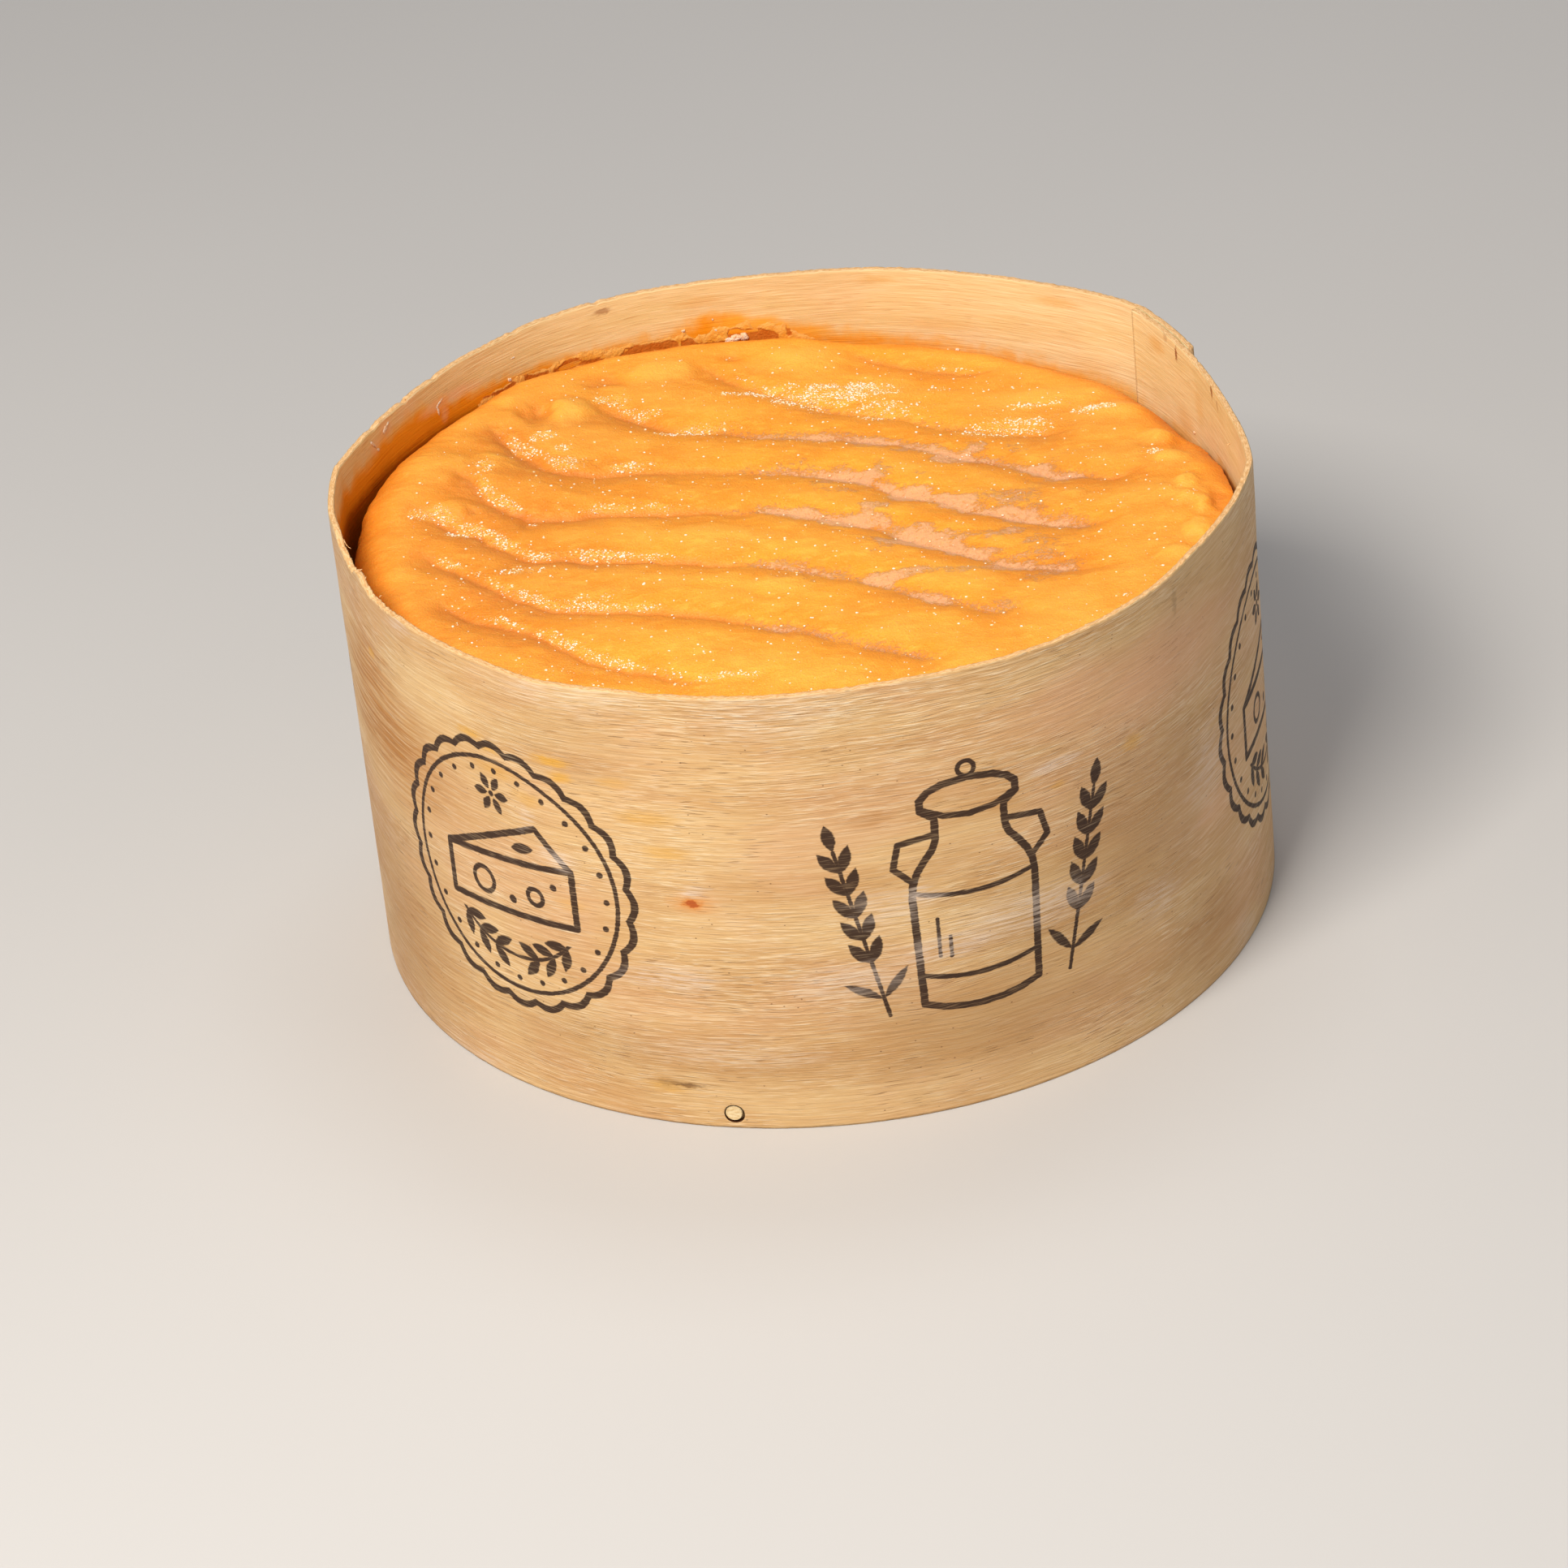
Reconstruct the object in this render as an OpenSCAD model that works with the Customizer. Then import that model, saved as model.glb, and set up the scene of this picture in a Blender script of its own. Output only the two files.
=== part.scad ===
// Round cheese box of bent peeled veneer, open at the top, with a pegged
// board bottom and a soft cheese standing in it.
//
// Frame: millimetres, +Z up, origin at the centre of the underside.
// Azimuths are in degrees, measured from the front (-Y) towards +X.

/* [Side band] */
// Outside radius of the band at its foot
base_r = 57; // [54:0.5:60]
// Height of the band
band_h = 60; // [54:1:66]
// Thickness of the peeled veneer
veneer_t = 0.8; // [0.7:0.1:1]
// Thickness of the glue film in the lap
glue_t = 0.1; // [0.1:0.05:0.2]
// How much the free rim is bent out of round, 0 is a true circle
rim_bend = 1; // [0:0.1:1]

/* [Bottom board] */
// Thickness of the bottom board
disc_t = 4; // [3.5:0.5:5]
// Clearance between the board's edge and the band
disc_gap = 0.1; // [0.1:0.05:0.3]
// Chamfer on the board's edges
disc_chamfer = 0.3; // [0.1:0.1:0.5]

/* [Pegs] */
// Number of pegs through the band into the board
peg_n = 3; // [2:1:4]
// Diameter of a peg
peg_d = 2.1; // [1.8:0.1:2.3]
// Length of a peg
peg_l = 12; // [8:1:16]
// Azimuth of the first peg
peg_az = -15; // [-20:1:-10]
// How far a peg's end sits below the band's face
peg_sink = 0.15; // [0:0.05:0.3]

/* [Cheese] */
// Height of the middle of the cheese's top above the underside
cheese_top = 52; // [48:0.5:53]
// Clearance between the cheese and the narrowest wall on its way out
cheese_gap = 0.4; // [0.3:0.1:1]
// Thickness of the rind
rind_t = 1.2; // [0.8:0.1:2]
// How far the rounded shoulder reaches in from the side
shoulder_w = 5; // [4:0.5:7]

/* [Hidden] */

// The strip runs once round and laps over its own start. Its outer end is at
// lap_a, its inner end is hidden behind it at lap_b, one turn later.
lap_a = 111.5;
lap_b = 125.5;
lap_steps = 5;
turn_steps = 123;
ply = veneer_t + glue_t;

// Bends of the rim: azimuth along the strip, radial offset of the outer face
// from base_r at the rim, and 1 where the veneer has a sharp crease.
rim_table = [
  [111.5, -0.7, 0], [120, 0.2, 0], [125, 0.9, 1], [130, 0.4, 0],
  [140, -1.2, 0], [150, -2.0, 0], [165, -2.5, 0], [180, -3.1, 0],
  [190, -2.4, 0], [200, -1.4, 0], [210, -0.7, 0], [225, -0.9, 0],
  [240, -0.9, 0], [250, -0.1, 0], [258.5, 0.9, 1], [265, 0.5, 0],
  [275, 0, 0], [290, -0.1, 0], [305, -0.4, 0], [315, -0.3, 0],
  [325, 0.4, 0], [335, -0.3, 0], [350, -0.2, 0], [368, -0.5, 0],
  [386, 0.6, 0], [405, 0.5, 0], [415, -0.3, 0], [430, -0.1, 0],
  [439, 0.2, 1], [446, -0.8, 0], [453, -1.7, 0], [461, -2.0, 0],
  [471.5, -1.6, 0]
];

// Height of the cheese's shoulder round its edge, relative to cheese_top, and
// width factor of the shoulder there.
edge_table = [
  [-180, 0.6, 0.8], [-150, 1.7, 0.7], [-135, 2.6, 0.9], [-105, 3.0, 1.4],
  [-90, 2.5, 1.5], [-60, 1.4, 1.3], [-30, 0.4, 1.1], [0, -0.5, 1],
  [45, -1.2, 1], [90, -0.4, 1], [115, -1.3, 1.2], [150, -1.2, 1],
  [180, 0.6, 0.8]
];

function at(az, r, z) = [r * sin(az), -r * cos(az), z];

// Slope of the rim table at row i, one-sided at creases and at the ends.
function seg(i) = (rim_table[i + 1][1] - rim_table[i][1]) / (rim_table[i + 1][0] - rim_table[i][0]);
function tan_in(i) = i == 0 ? seg(0)
  : rim_table[i][2] == 1 || i == len(rim_table) - 1 ? seg(i - 1)
  : (seg(i - 1) + seg(i)) / 2;
function tan_out(i) = i == 0 ? seg(0)
  : i == len(rim_table) - 1 ? seg(i - 1)
  : rim_table[i][2] == 1 ? seg(i)
  : (seg(i - 1) + seg(i)) / 2;
function row_of(s, i = 0) = i >= len(rim_table) - 2 || s < rim_table[i + 1][0] ? i : row_of(s, i + 1);
function hermite(t, p0, m0, p1, m1) =
  (2 * t * t * t - 3 * t * t + 1) * p0 + (t * t * t - 2 * t * t + t) * m0
  + (3 * t * t - 2 * t * t * t) * p1 + (t * t * t - t * t) * m1;
function rim_raw(s) = let (i = row_of(s), a = rim_table[i][0], b = rim_table[i + 1][0], t = (s - a) / (b - a))
  hermite(t, rim_table[i][1], tan_out(i) * (b - a), rim_table[i + 1][1], tan_in(i + 1) * (b - a));

// Radial offset of the strip's outer face from base_r, at the rim and at the
// foot. The stretch behind the lap lies one ply further in.
function rim_off(s) = s > lap_a + 360.001 ? rim_off(s - 360) - ply : rim_bend * rim_raw(s);
function fade(t) = t <= 0 ? 1 : t >= 1 ? 0 : 1 - t * t * (3 - 2 * t);
function foot_off(s) = s > lap_a + 359.999 ? 0 : ply * fade((s - lap_b) / 16);
function blend_z(z) = z <= disc_t ? 0 : (z - disc_t) / (band_h - disc_t);
function strip_r(s, z, depth) = base_r - depth + foot_off(s) * (1 - blend_z(z)) + rim_off(s) * blend_z(z);

// A closed sheet between two depths below the strip's outer face.
module strip(stations, heights, d_out, d_in) {
  n = len(stations);
  m = len(heights);
  pts = concat(
    [for (s = stations) for (z = heights) at(s, strip_r(s, z, d_out), z)],
    [for (s = stations) for (z = heights) at(s, strip_r(s, z, d_in), z)]
  );
  function o(i, j) = i * m + j;
  function q(i, j) = n * m + i * m + j;
  faces = concat(
    [for (i = [0 : n - 2]) for (j = [0 : m - 2]) each [[o(i, j), o(i, j + 1), o(i + 1, j + 1)], [o(i, j), o(i + 1, j + 1), o(i + 1, j)]]],
    [for (i = [0 : n - 2]) for (j = [0 : m - 2]) each [[q(i, j), q(i + 1, j + 1), q(i, j + 1)], [q(i, j), q(i + 1, j), q(i + 1, j + 1)]]],
    [for (i = [0 : n - 2]) each [[o(i, m - 1), q(i, m - 1), q(i + 1, m - 1)], [o(i, m - 1), q(i + 1, m - 1), o(i + 1, m - 1)]]],
    [for (i = [0 : n - 2]) each [[o(i, 0), q(i + 1, 0), q(i, 0)], [o(i, 0), o(i + 1, 0), q(i + 1, 0)]]],
    [for (j = [0 : m - 2]) each [[o(0, j), q(0, j), q(0, j + 1)], [o(0, j), q(0, j + 1), o(0, j + 1)]]],
    [for (j = [0 : m - 2]) each [[o(n - 1, j), q(n - 1, j + 1), q(n - 1, j)], [o(n - 1, j), o(n - 1, j + 1), q(n - 1, j + 1)]]]
  );
  polyhedron(points = pts, faces = faces, convexity = 6);
}

lap_stations = [for (i = [0 : lap_steps]) lap_a + (lap_b - lap_a) * i / lap_steps];
turn_stations = [for (i = [1 : turn_steps - 1]) lap_b + (lap_a + 360 - lap_b) * i / turn_steps];
end_stations = [for (s = lap_stations) s + 360];
band_heights = [0, disc_t, band_h];

// Places children at a peg's axis, with +Z pointing outwards from the centre.
module at_pegs() {
  for (k = [0 : peg_n - 1])
    rotate([0, 0, peg_az + 360 * k / peg_n])
      translate([0, 0, disc_t / 2])
        rotate([90, 0, 0]) children();
}

peg_out = base_r - peg_sink;

module side_band() {
  color("burlywood")
    difference() {
      strip(concat(lap_stations, turn_stations, end_stations), band_heights, 0, veneer_t);
      at_pegs() translate([0, 0, base_r - 6]) cylinder(r = peg_d / 2 + 0.1, h = 12, $fn = 32);
    }
}

module lap_glue() {
  color("ivory")
    strip(lap_stations, band_heights, veneer_t, veneer_t + glue_t);
}

module bottom_disc() {
  r = base_r - veneer_t - disc_gap;
  color("tan")
    difference() {
      rotate_extrude($fn = 128)
        polygon([
          [0, 0], [r - disc_chamfer, 0], [r, disc_chamfer],
          [r, disc_t - disc_chamfer], [r - disc_chamfer, disc_t], [0, disc_t]
        ]);
      at_pegs() translate([0, 0, peg_out - peg_l - 0.4]) cylinder(r = peg_d / 2 + 0.05, h = peg_l + 6, $fn = 32);
    }
}

// One turned peg with a tapered inner end.
module peg() {
  translate([0, 0, peg_out - peg_l])
    rotate_extrude($fn = 32)
      polygon([[0, 0], [peg_d / 2 - 0.5, 0], [peg_d / 2, 1.5], [peg_d / 2, peg_l - 0.1], [peg_d / 2 - 0.1, peg_l], [0, peg_l]]);
}

module bottom_pegs() {
  color("wheat")
    at_pegs() peg();
}

// Table look-up round the edge, smooth between rows.
function edge_row(az, i = 0) = i >= len(edge_table) - 2 || az < edge_table[i + 1][0] ? i : edge_row(az, i + 1);
function edge_val(az, c) = let (i = edge_row(az), t = (az - edge_table[i][0]) / (edge_table[i + 1][0] - edge_table[i][0]), w = 1 - fade(t))
  edge_table[i][c] * (1 - w) + edge_table[i + 1][c] * w;

// Inner wall offset that the cheese has to pass: the least of foot and rim,
// looked up over a few degrees to either side.
function inner_off(az) = let (s = az < lap_b ? az + 360 : az) min(0, rim_off(s));
function wrap(az) = az < 111.5 ? az + 360 : az;
function clear_off(az) = min([for (k = [-2 : 2]) inner_off(wrap(az) + 2.5 * k > lap_b + 360 ? wrap(az) + 2.5 * k - 360 : wrap(az) + 2.5 * k)]);

// Side of the cheese. It stands a little off the wall on the left.
function left_gap(az) = 1.1 * pow(max(0, cos((az + 95) * 1.2)), 2) * (abs(az + 95) < 75 ? 1 : 0);
function cheese_r(az) = base_r - veneer_t + clear_off(az) - cheese_gap - left_gap(az);

cheese_steps = 96;
shoulder_steps = 5;

// Closed drum of the cheese, drawn in by "inset" all round.
module cheese_drum(inset) {
  az = [for (i = [0 : cheese_steps - 1]) -180 + 360 * i / cheese_steps];
  function top_z(a) = cheese_top + edge_val(a, 1) - inset;
  function side_r(a) = cheese_r(a) - inset;
  function sw(a) = shoulder_w * edge_val(a, 2);
  z0 = disc_t + inset;
  rings = concat(
    [[for (a = az) at(a, side_r(a) - 2.5, z0)]],
    [[for (a = az) at(a, side_r(a) - 0.7, z0 + 0.7)]],
    [[for (a = az) at(a, side_r(a), z0 + 2.5)]],
    [for (k = [0 : shoulder_steps]) [for (a = az) let (u = 90 * k / shoulder_steps)
      at(a, side_r(a) - sw(a) * (1 - cos(u)), top_z(a) - sw(a) * 0.9 * (1 - sin(u)))]],
    [[for (a = az) at(a, side_r(a) * 0.75, top_z(a) * 0.6 + (cheese_top - inset) * 0.4)]],
    [[for (a = az) at(a, side_r(a) * 0.4, top_z(a) * 0.15 + (cheese_top - inset) * 0.85)]]
  );
  n = cheese_steps;
  m = len(rings);
  pts = concat([[0, 0, z0]], [for (r = rings) each r], [[0, 0, cheese_top - inset]]);
  function v(j, i) = 1 + j * n + (i % n);
  faces = concat(
    [for (i = [0 : n - 1]) [0, v(0, i), v(0, i + 1)]],
    [for (j = [0 : m - 2]) for (i = [0 : n - 1]) each [[v(j, i), v(j + 1, i), v(j + 1, i + 1)], [v(j, i), v(j + 1, i + 1), v(j, i + 1)]]],
    [for (i = [0 : n - 1]) [v(m - 1, i), 1 + m * n, v(m - 1, i + 1)]]
  );
  polyhedron(points = pts, faces = faces, convexity = 4);
}

module cheese_rind() {
  color("orange")
    difference() {
      cheese_drum(0);
      cheese_drum(rind_t);
    }
}

module cheese_paste() {
  color("khaki")
    cheese_drum(rind_t);
}

side_band();
lap_glue();
bottom_disc();
bottom_pegs();
cheese_rind();
cheese_paste();
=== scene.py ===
import math

import bpy
import numpy as np
from mathutils import Matrix


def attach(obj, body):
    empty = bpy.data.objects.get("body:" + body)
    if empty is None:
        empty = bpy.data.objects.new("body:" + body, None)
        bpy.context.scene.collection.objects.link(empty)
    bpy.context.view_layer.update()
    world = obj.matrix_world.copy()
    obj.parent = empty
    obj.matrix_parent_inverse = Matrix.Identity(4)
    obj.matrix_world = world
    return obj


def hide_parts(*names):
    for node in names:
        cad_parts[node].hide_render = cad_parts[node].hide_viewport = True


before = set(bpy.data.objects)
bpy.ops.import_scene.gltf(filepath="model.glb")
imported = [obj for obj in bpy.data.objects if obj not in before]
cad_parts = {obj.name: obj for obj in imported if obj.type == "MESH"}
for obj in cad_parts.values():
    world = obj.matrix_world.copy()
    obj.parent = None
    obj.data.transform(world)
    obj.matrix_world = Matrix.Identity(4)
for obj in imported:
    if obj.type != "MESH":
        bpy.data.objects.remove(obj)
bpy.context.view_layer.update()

MM = 0.001
scene = bpy.context.scene


# ---------------------------------------------------------------- helpers

def hashed(ix, iy, iz, seed):
    h = (ix.astype(np.int64).astype(np.uint32) * np.uint32(374761393)
         ^ iy.astype(np.int64).astype(np.uint32) * np.uint32(668265263)
         ^ iz.astype(np.int64).astype(np.uint32) * np.uint32(2246822519)
         ^ np.uint32((seed * 3266489917 + 374761) & 0xFFFFFFFF))
    h = (h ^ (h >> np.uint32(13))) * np.uint32(1274126177)
    h = (h ^ (h >> np.uint32(16))) * np.uint32(2654435761)
    h = h ^ (h >> np.uint32(15))
    return h.astype(np.float64) / 4294967295.0


def noise(x, y, z=0.0, seed=0):
    """Smooth value noise from -1 to 1."""
    x, y, z = np.broadcast_arrays(np.asarray(x, float), np.asarray(y, float), np.asarray(z, float))
    fx, fy, fz = np.floor(x), np.floor(y), np.floor(z)
    tx, ty, tz = x - fx, y - fy, z - fz
    tx = tx * tx * tx * (tx * (tx * 6 - 15) + 10)
    ty = ty * ty * ty * (ty * (ty * 6 - 15) + 10)
    tz = tz * tz * tz * (tz * (tz * 6 - 15) + 10)
    total = 0.0
    for dx in (0, 1):
        for dy in (0, 1):
            for dz in (0, 1):
                w = (tx if dx else 1 - tx) * (ty if dy else 1 - ty) * (tz if dz else 1 - tz)
                total = total + w * hashed(fx + dx, fy + dy, fz + dz, seed)
    return total * 2 - 1


def fbm(x, y, z=0.0, seed=0, octaves=3, gain=0.5):
    total, amp, norm = 0.0, 1.0, 0.0
    for k in range(octaves):
        f = 2.03 ** k
        total = total + amp * noise(np.asarray(x) * f + 17.3 * k, np.asarray(y) * f - 9.1 * k, np.asarray(z) * f, seed + k)
        norm += amp
        amp *= gain
    return total / norm


def smooth(t):
    t = np.clip(t, 0, 1)
    return t * t * (3 - 2 * t)


def table(rows, az, col=1):
    """Smooth look-up in rows of (azimuth, value, ...) that run from -180 to 180."""
    a = np.array([r[0] for r in rows], float)
    v = np.array([r[col] for r in rows], float)
    az = (np.asarray(az, float) + 180) % 360 - 180
    i = np.clip(np.searchsorted(a, az, side="right") - 1, 0, len(a) - 2)
    t = smooth((az - a[i]) / (a[i + 1] - a[i]))
    return v[i] * (1 - t) + v[i + 1] * t


def polar(az, r, z):
    a = np.radians(az)
    return np.stack(np.broadcast_arrays(r * np.sin(a), -r * np.cos(a), z), -1)


def azimuth(x, y):
    return np.degrees(np.arctan2(x, -y))


def build(name, co, quads, tris, materials, face_mat=None, attrs=None, body=None, flat=False):
    """A mesh object in metres from points in millimetres."""
    me = bpy.data.meshes.new(name)
    co = np.asarray(co, float) * MM
    quads = np.asarray(quads, np.int32).reshape(-1, 4)
    tris = np.asarray(tris, np.int32).reshape(-1, 3)
    me.vertices.add(len(co))
    me.vertices.foreach_set("co", co.astype(np.float32).ravel())
    loops = np.concatenate([quads.ravel(), tris.ravel()])
    me.loops.add(len(loops))
    me.loops.foreach_set("vertex_index", loops)
    starts = np.concatenate([np.arange(len(quads)) * 4, len(quads) * 4 + np.arange(len(tris)) * 3])
    me.polygons.add(len(starts))
    me.polygons.foreach_set("loop_start", starts.astype(np.int32))
    me.polygons.foreach_set("use_smooth", np.full(len(starts), not flat))
    for m in materials:
        me.materials.append(m)
    if face_mat is not None:
        me.polygons.foreach_set("material_index", np.asarray(face_mat, np.int32))
    me.update(calc_edges=True)
    for key, value in (attrs or {}).items():
        value = np.asarray(value, np.float32)
        if value.ndim == 1:
            me.attributes.new(key, "FLOAT", "POINT").data.foreach_set("value", value)
        else:
            me.attributes.new(key, "FLOAT_VECTOR", "POINT").data.foreach_set("vector", value.ravel())
    me.validate()
    ob = bpy.data.objects.new(name, me)
    scene.collection.objects.link(ob)
    if body:
        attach(ob, body)
    return ob


def lin(code):
    """Linear colour from a hex code."""
    out = []
    for k in (0, 2, 4):
        c = int(code[k:k + 2], 16) / 255
        out.append(c / 12.92 if c <= 0.04045 else ((c + 0.055) / 1.055) ** 2.4)
    return (*out, 1.0)


class Graph:
    """A material and short ways to add nodes to it."""

    def __init__(self, name, **sockets):
        self.mat = bpy.data.materials.new(name)
        self.mat.use_nodes = True
        self.nt = self.mat.node_tree
        self.nt.nodes.clear()
        out = self.nt.nodes.new("ShaderNodeOutputMaterial")
        self.bsdf = self.nt.nodes.new("ShaderNodeBsdfPrincipled")
        self.nt.links.new(self.bsdf.outputs[0], out.inputs[0])
        for key, value in sockets.items():
            self.set(key.replace("_", " "), value)

    def set(self, key, value):
        self.put(self.bsdf.inputs[key], value)

    def put(self, socket, value):
        if isinstance(value, bpy.types.NodeSocket):
            self.nt.links.new(value, socket)
        else:
            socket.default_value = value

    def node(self, kind, **props):
        n = self.nt.nodes.new(kind)
        for key, value in props.items():
            setattr(n, key, value)
        return n

    def m(self, op, a, b=None, c=None, clamp=False):
        n = self.node("ShaderNodeMath", operation=op, use_clamp=clamp)
        for k, value in enumerate((a, b, c)):
            if value is not None:
                self.put(n.inputs[k], value)
        return n.outputs[0]

    def v(self, op, a, b=None, scale=None):
        n = self.node("ShaderNodeVectorMath", operation=op)
        self.put(n.inputs[0], a)
        if b is not None:
            self.put(n.inputs[1], b)
        if scale is not None:
            self.put(n.inputs[3], scale)
        return n.outputs["Value" if op in ("DOT_PRODUCT", "LENGTH", "DISTANCE") else "Vector"]

    def attr(self, name, out="Fac"):
        n = self.node("ShaderNodeAttribute", attribute_name=name)
        return n.outputs[out]

    def object(self):
        return self.node("ShaderNodeTexCoord").outputs["Object"]

    def noise(self, vec, scale=1.0, detail=2.0, rough=0.5, dist=0.0):
        n = self.node("ShaderNodeTexNoise")
        self.put(n.inputs["Vector"], vec)
        n.inputs["Scale"].default_value = scale
        n.inputs["Detail"].default_value = detail
        n.inputs["Roughness"].default_value = rough
        n.inputs["Distortion"].default_value = dist
        return n.outputs[0]

    def noise3(self, vec, scale=1.0, detail=2.0, rough=0.5):
        n = self.node("ShaderNodeTexNoise")
        self.put(n.inputs["Vector"], vec)
        n.inputs["Scale"].default_value = scale
        n.inputs["Detail"].default_value = detail
        n.inputs["Roughness"].default_value = rough
        return self.v("SUBTRACT", n.outputs["Color"], (0.5, 0.5, 0.5))

    def voronoi(self, vec, scale=1.0, out="Distance", feature="F1"):
        n = self.node("ShaderNodeTexVoronoi", feature=feature)
        self.put(n.inputs["Vector"], vec)
        n.inputs["Scale"].default_value = scale
        return n.outputs[out]

    def ramp(self, value, lo, hi, a=0.0, b=1.0, kind="SMOOTHSTEP"):
        n = self.node("ShaderNodeMapRange", interpolation_type=kind)
        self.put(n.inputs[0], value)
        for k, x in zip((1, 2, 3, 4), (lo, hi, a, b)):
            self.put(n.inputs[k], x)
        return n.outputs[0]

    def mix(self, fac, a, b, mode="MIX"):
        n = self.node("ShaderNodeMix", data_type="RGBA", blend_type=mode)
        self.put(n.inputs[0], fac)
        self.put(n.inputs[6], a)
        self.put(n.inputs[7], b)
        return n.outputs[2]

    def xyz(self, vec):
        n = self.node("ShaderNodeSeparateXYZ")
        self.put(n.inputs[0], vec)
        return n.outputs[0], n.outputs[1], n.outputs[2]

    def vec(self, x, y, z=0.0):
        n = self.node("ShaderNodeCombineXYZ")
        for k, value in enumerate((x, y, z)):
            self.put(n.inputs[k], value)
        return n.outputs[0]

    def bump(self, height, distance, strength=1.0, normal=None):
        n = self.node("ShaderNodeBump")
        n.inputs["Strength"].default_value = strength
        n.inputs["Distance"].default_value = distance
        self.put(n.inputs["Height"], height)
        if normal is not None:
            self.put(n.inputs["Normal"], normal)
        return n.outputs[0]

    def blob(self, p, centre, radii, soft=0.5):
        """1 inside an ellipse in the plane of p, falling off smoothly to 0."""
        q = self.v("MULTIPLY", self.v("SUBTRACT", p, (*centre, 0)), (1 / radii[0], 1 / radii[1], 0))
        return self.ramp(self.v("LENGTH", q), 1 - soft, 1 + soft, 1.0, 0.0)

    def spots(self, p, rows, soft=0.6):
        """The strongest of several blobs: x, y, radius along, radius up, amount."""
        total = None
        for x, y, rx, ry, amount in rows:
            b = self.m("MULTIPLY", self.blob(p, (x, y), (rx, ry), soft), amount)
            total = b if total is None else self.m("MAXIMUM", total, b)
        return total


# ---------------------------------------------------------------- the box's own curves, as in the frame

BASE_R, BAND_H, VENEER, DISC_T = 57.0, 60.0, 0.8, 4.0
LAP_A, LAP_B, PLY = 111.5, 125.5, 0.9
ARC = BASE_R * math.pi / 180

RIM = np.array([
    [111.5, -0.7, 0], [120, 0.2, 0], [125, 0.9, 1], [130, 0.4, 0],
    [140, -1.2, 0], [150, -2.0, 0], [165, -2.5, 0], [180, -3.1, 0],
    [190, -2.4, 0], [200, -1.4, 0], [210, -0.7, 0], [225, -0.9, 0],
    [240, -0.9, 0], [250, -0.1, 0], [258.5, 0.9, 1], [265, 0.5, 0],
    [275, 0, 0], [290, -0.1, 0], [305, -0.4, 0], [315, -0.3, 0],
    [325, 0.4, 0], [335, -0.3, 0], [350, -0.2, 0], [368, -0.5, 0],
    [386, 0.6, 0], [405, 0.5, 0], [415, -0.3, 0], [430, -0.1, 0],
    [439, 0.2, 1], [446, -0.8, 0], [453, -1.7, 0], [461, -2.0, 0],
    [471.5, -1.6, 0]])
_seg = np.diff(RIM[:, 1]) / np.diff(RIM[:, 0])
_n = len(RIM)
_tin = np.array([_seg[0] if i == 0 else _seg[i - 1] if RIM[i, 2] == 1 or i == _n - 1 else (_seg[i - 1] + _seg[i]) / 2 for i in range(_n)])
_tout = np.array([_seg[0] if i == 0 else _seg[i - 1] if i == _n - 1 else _seg[i] if RIM[i, 2] == 1 else (_seg[i - 1] + _seg[i]) / 2 for i in range(_n)])


def rim_raw(s):
    i = np.clip(np.searchsorted(RIM[:, 0], s, side="right") - 1, 0, _n - 2)
    w = RIM[i + 1, 0] - RIM[i, 0]
    t = (s - RIM[i, 0]) / w
    return ((2 * t ** 3 - 3 * t * t + 1) * RIM[i, 1] + (t ** 3 - 2 * t * t + t) * _tout[i] * w
            + (3 * t * t - 2 * t ** 3) * RIM[i + 1, 1] + (t ** 3 - t * t) * _tin[i + 1] * w)


def rim_off(s):
    s = np.asarray(s, float)
    return np.where(s > LAP_A + 360.001, rim_raw(np.where(s > LAP_A + 360.001, s - 360, s)) - PLY, rim_raw(s))


def foot_off(s):
    return np.where(np.asarray(s) > LAP_A + 359.999, 0.0, PLY * (1 - smooth((s - LAP_B) / 16)))


def strip_r(s, z, depth):
    b = np.clip((z - DISC_T) / (BAND_H - DISC_T), 0, None)
    return BASE_R - depth + foot_off(s) * (1 - b) + rim_off(s) * b


def s_inner(az):
    az = (np.asarray(az, float) + 180) % 360 - 180
    return np.where(az < LAP_B, az + 360, az)


def s_outer(az):
    az = (np.asarray(az, float) + 180) % 360 - 180
    return np.where(az < LAP_A, az + 360, az)


def wall_in(az, z):
    return strip_r(s_inner(az), z, VENEER)


def wall_out(az, z):
    return strip_r(s_outer(az), z, 0.0)


def clear_off(az):
    w = np.asarray(az, float)
    w = np.where(w < LAP_A, w + 360, w)
    best = None
    for k in (-2, -1, 0, 1, 2):
        x = w + 2.5 * k
        x = np.where(x > LAP_B + 360, x - 360, x)
        o = np.minimum(0, rim_off(np.where(x < LAP_B, x + 360, x)))
        best = o if best is None else np.minimum(best, o)
    return best


AZ = np.arange(-180, 180, 0.5)
_left = 0.6 * np.maximum(0, np.cos(np.radians((AZ + 95) * 1.2))) ** 2 * (np.abs(AZ + 95) < 75)
_rv = BASE_R - VENEER + clear_off(AZ) - 0.4 - _left + 0.22
_k = np.exp(-(np.arange(-8, 9) / 4.0) ** 2)
_rv = np.minimum(_rv + 0.03, np.convolve(np.concatenate([_rv[-8:], _rv, _rv[:8]]), _k / _k.sum(), "valid"))


def side_r(az):
    return np.interp(az, AZ, _rv, period=360)


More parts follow.
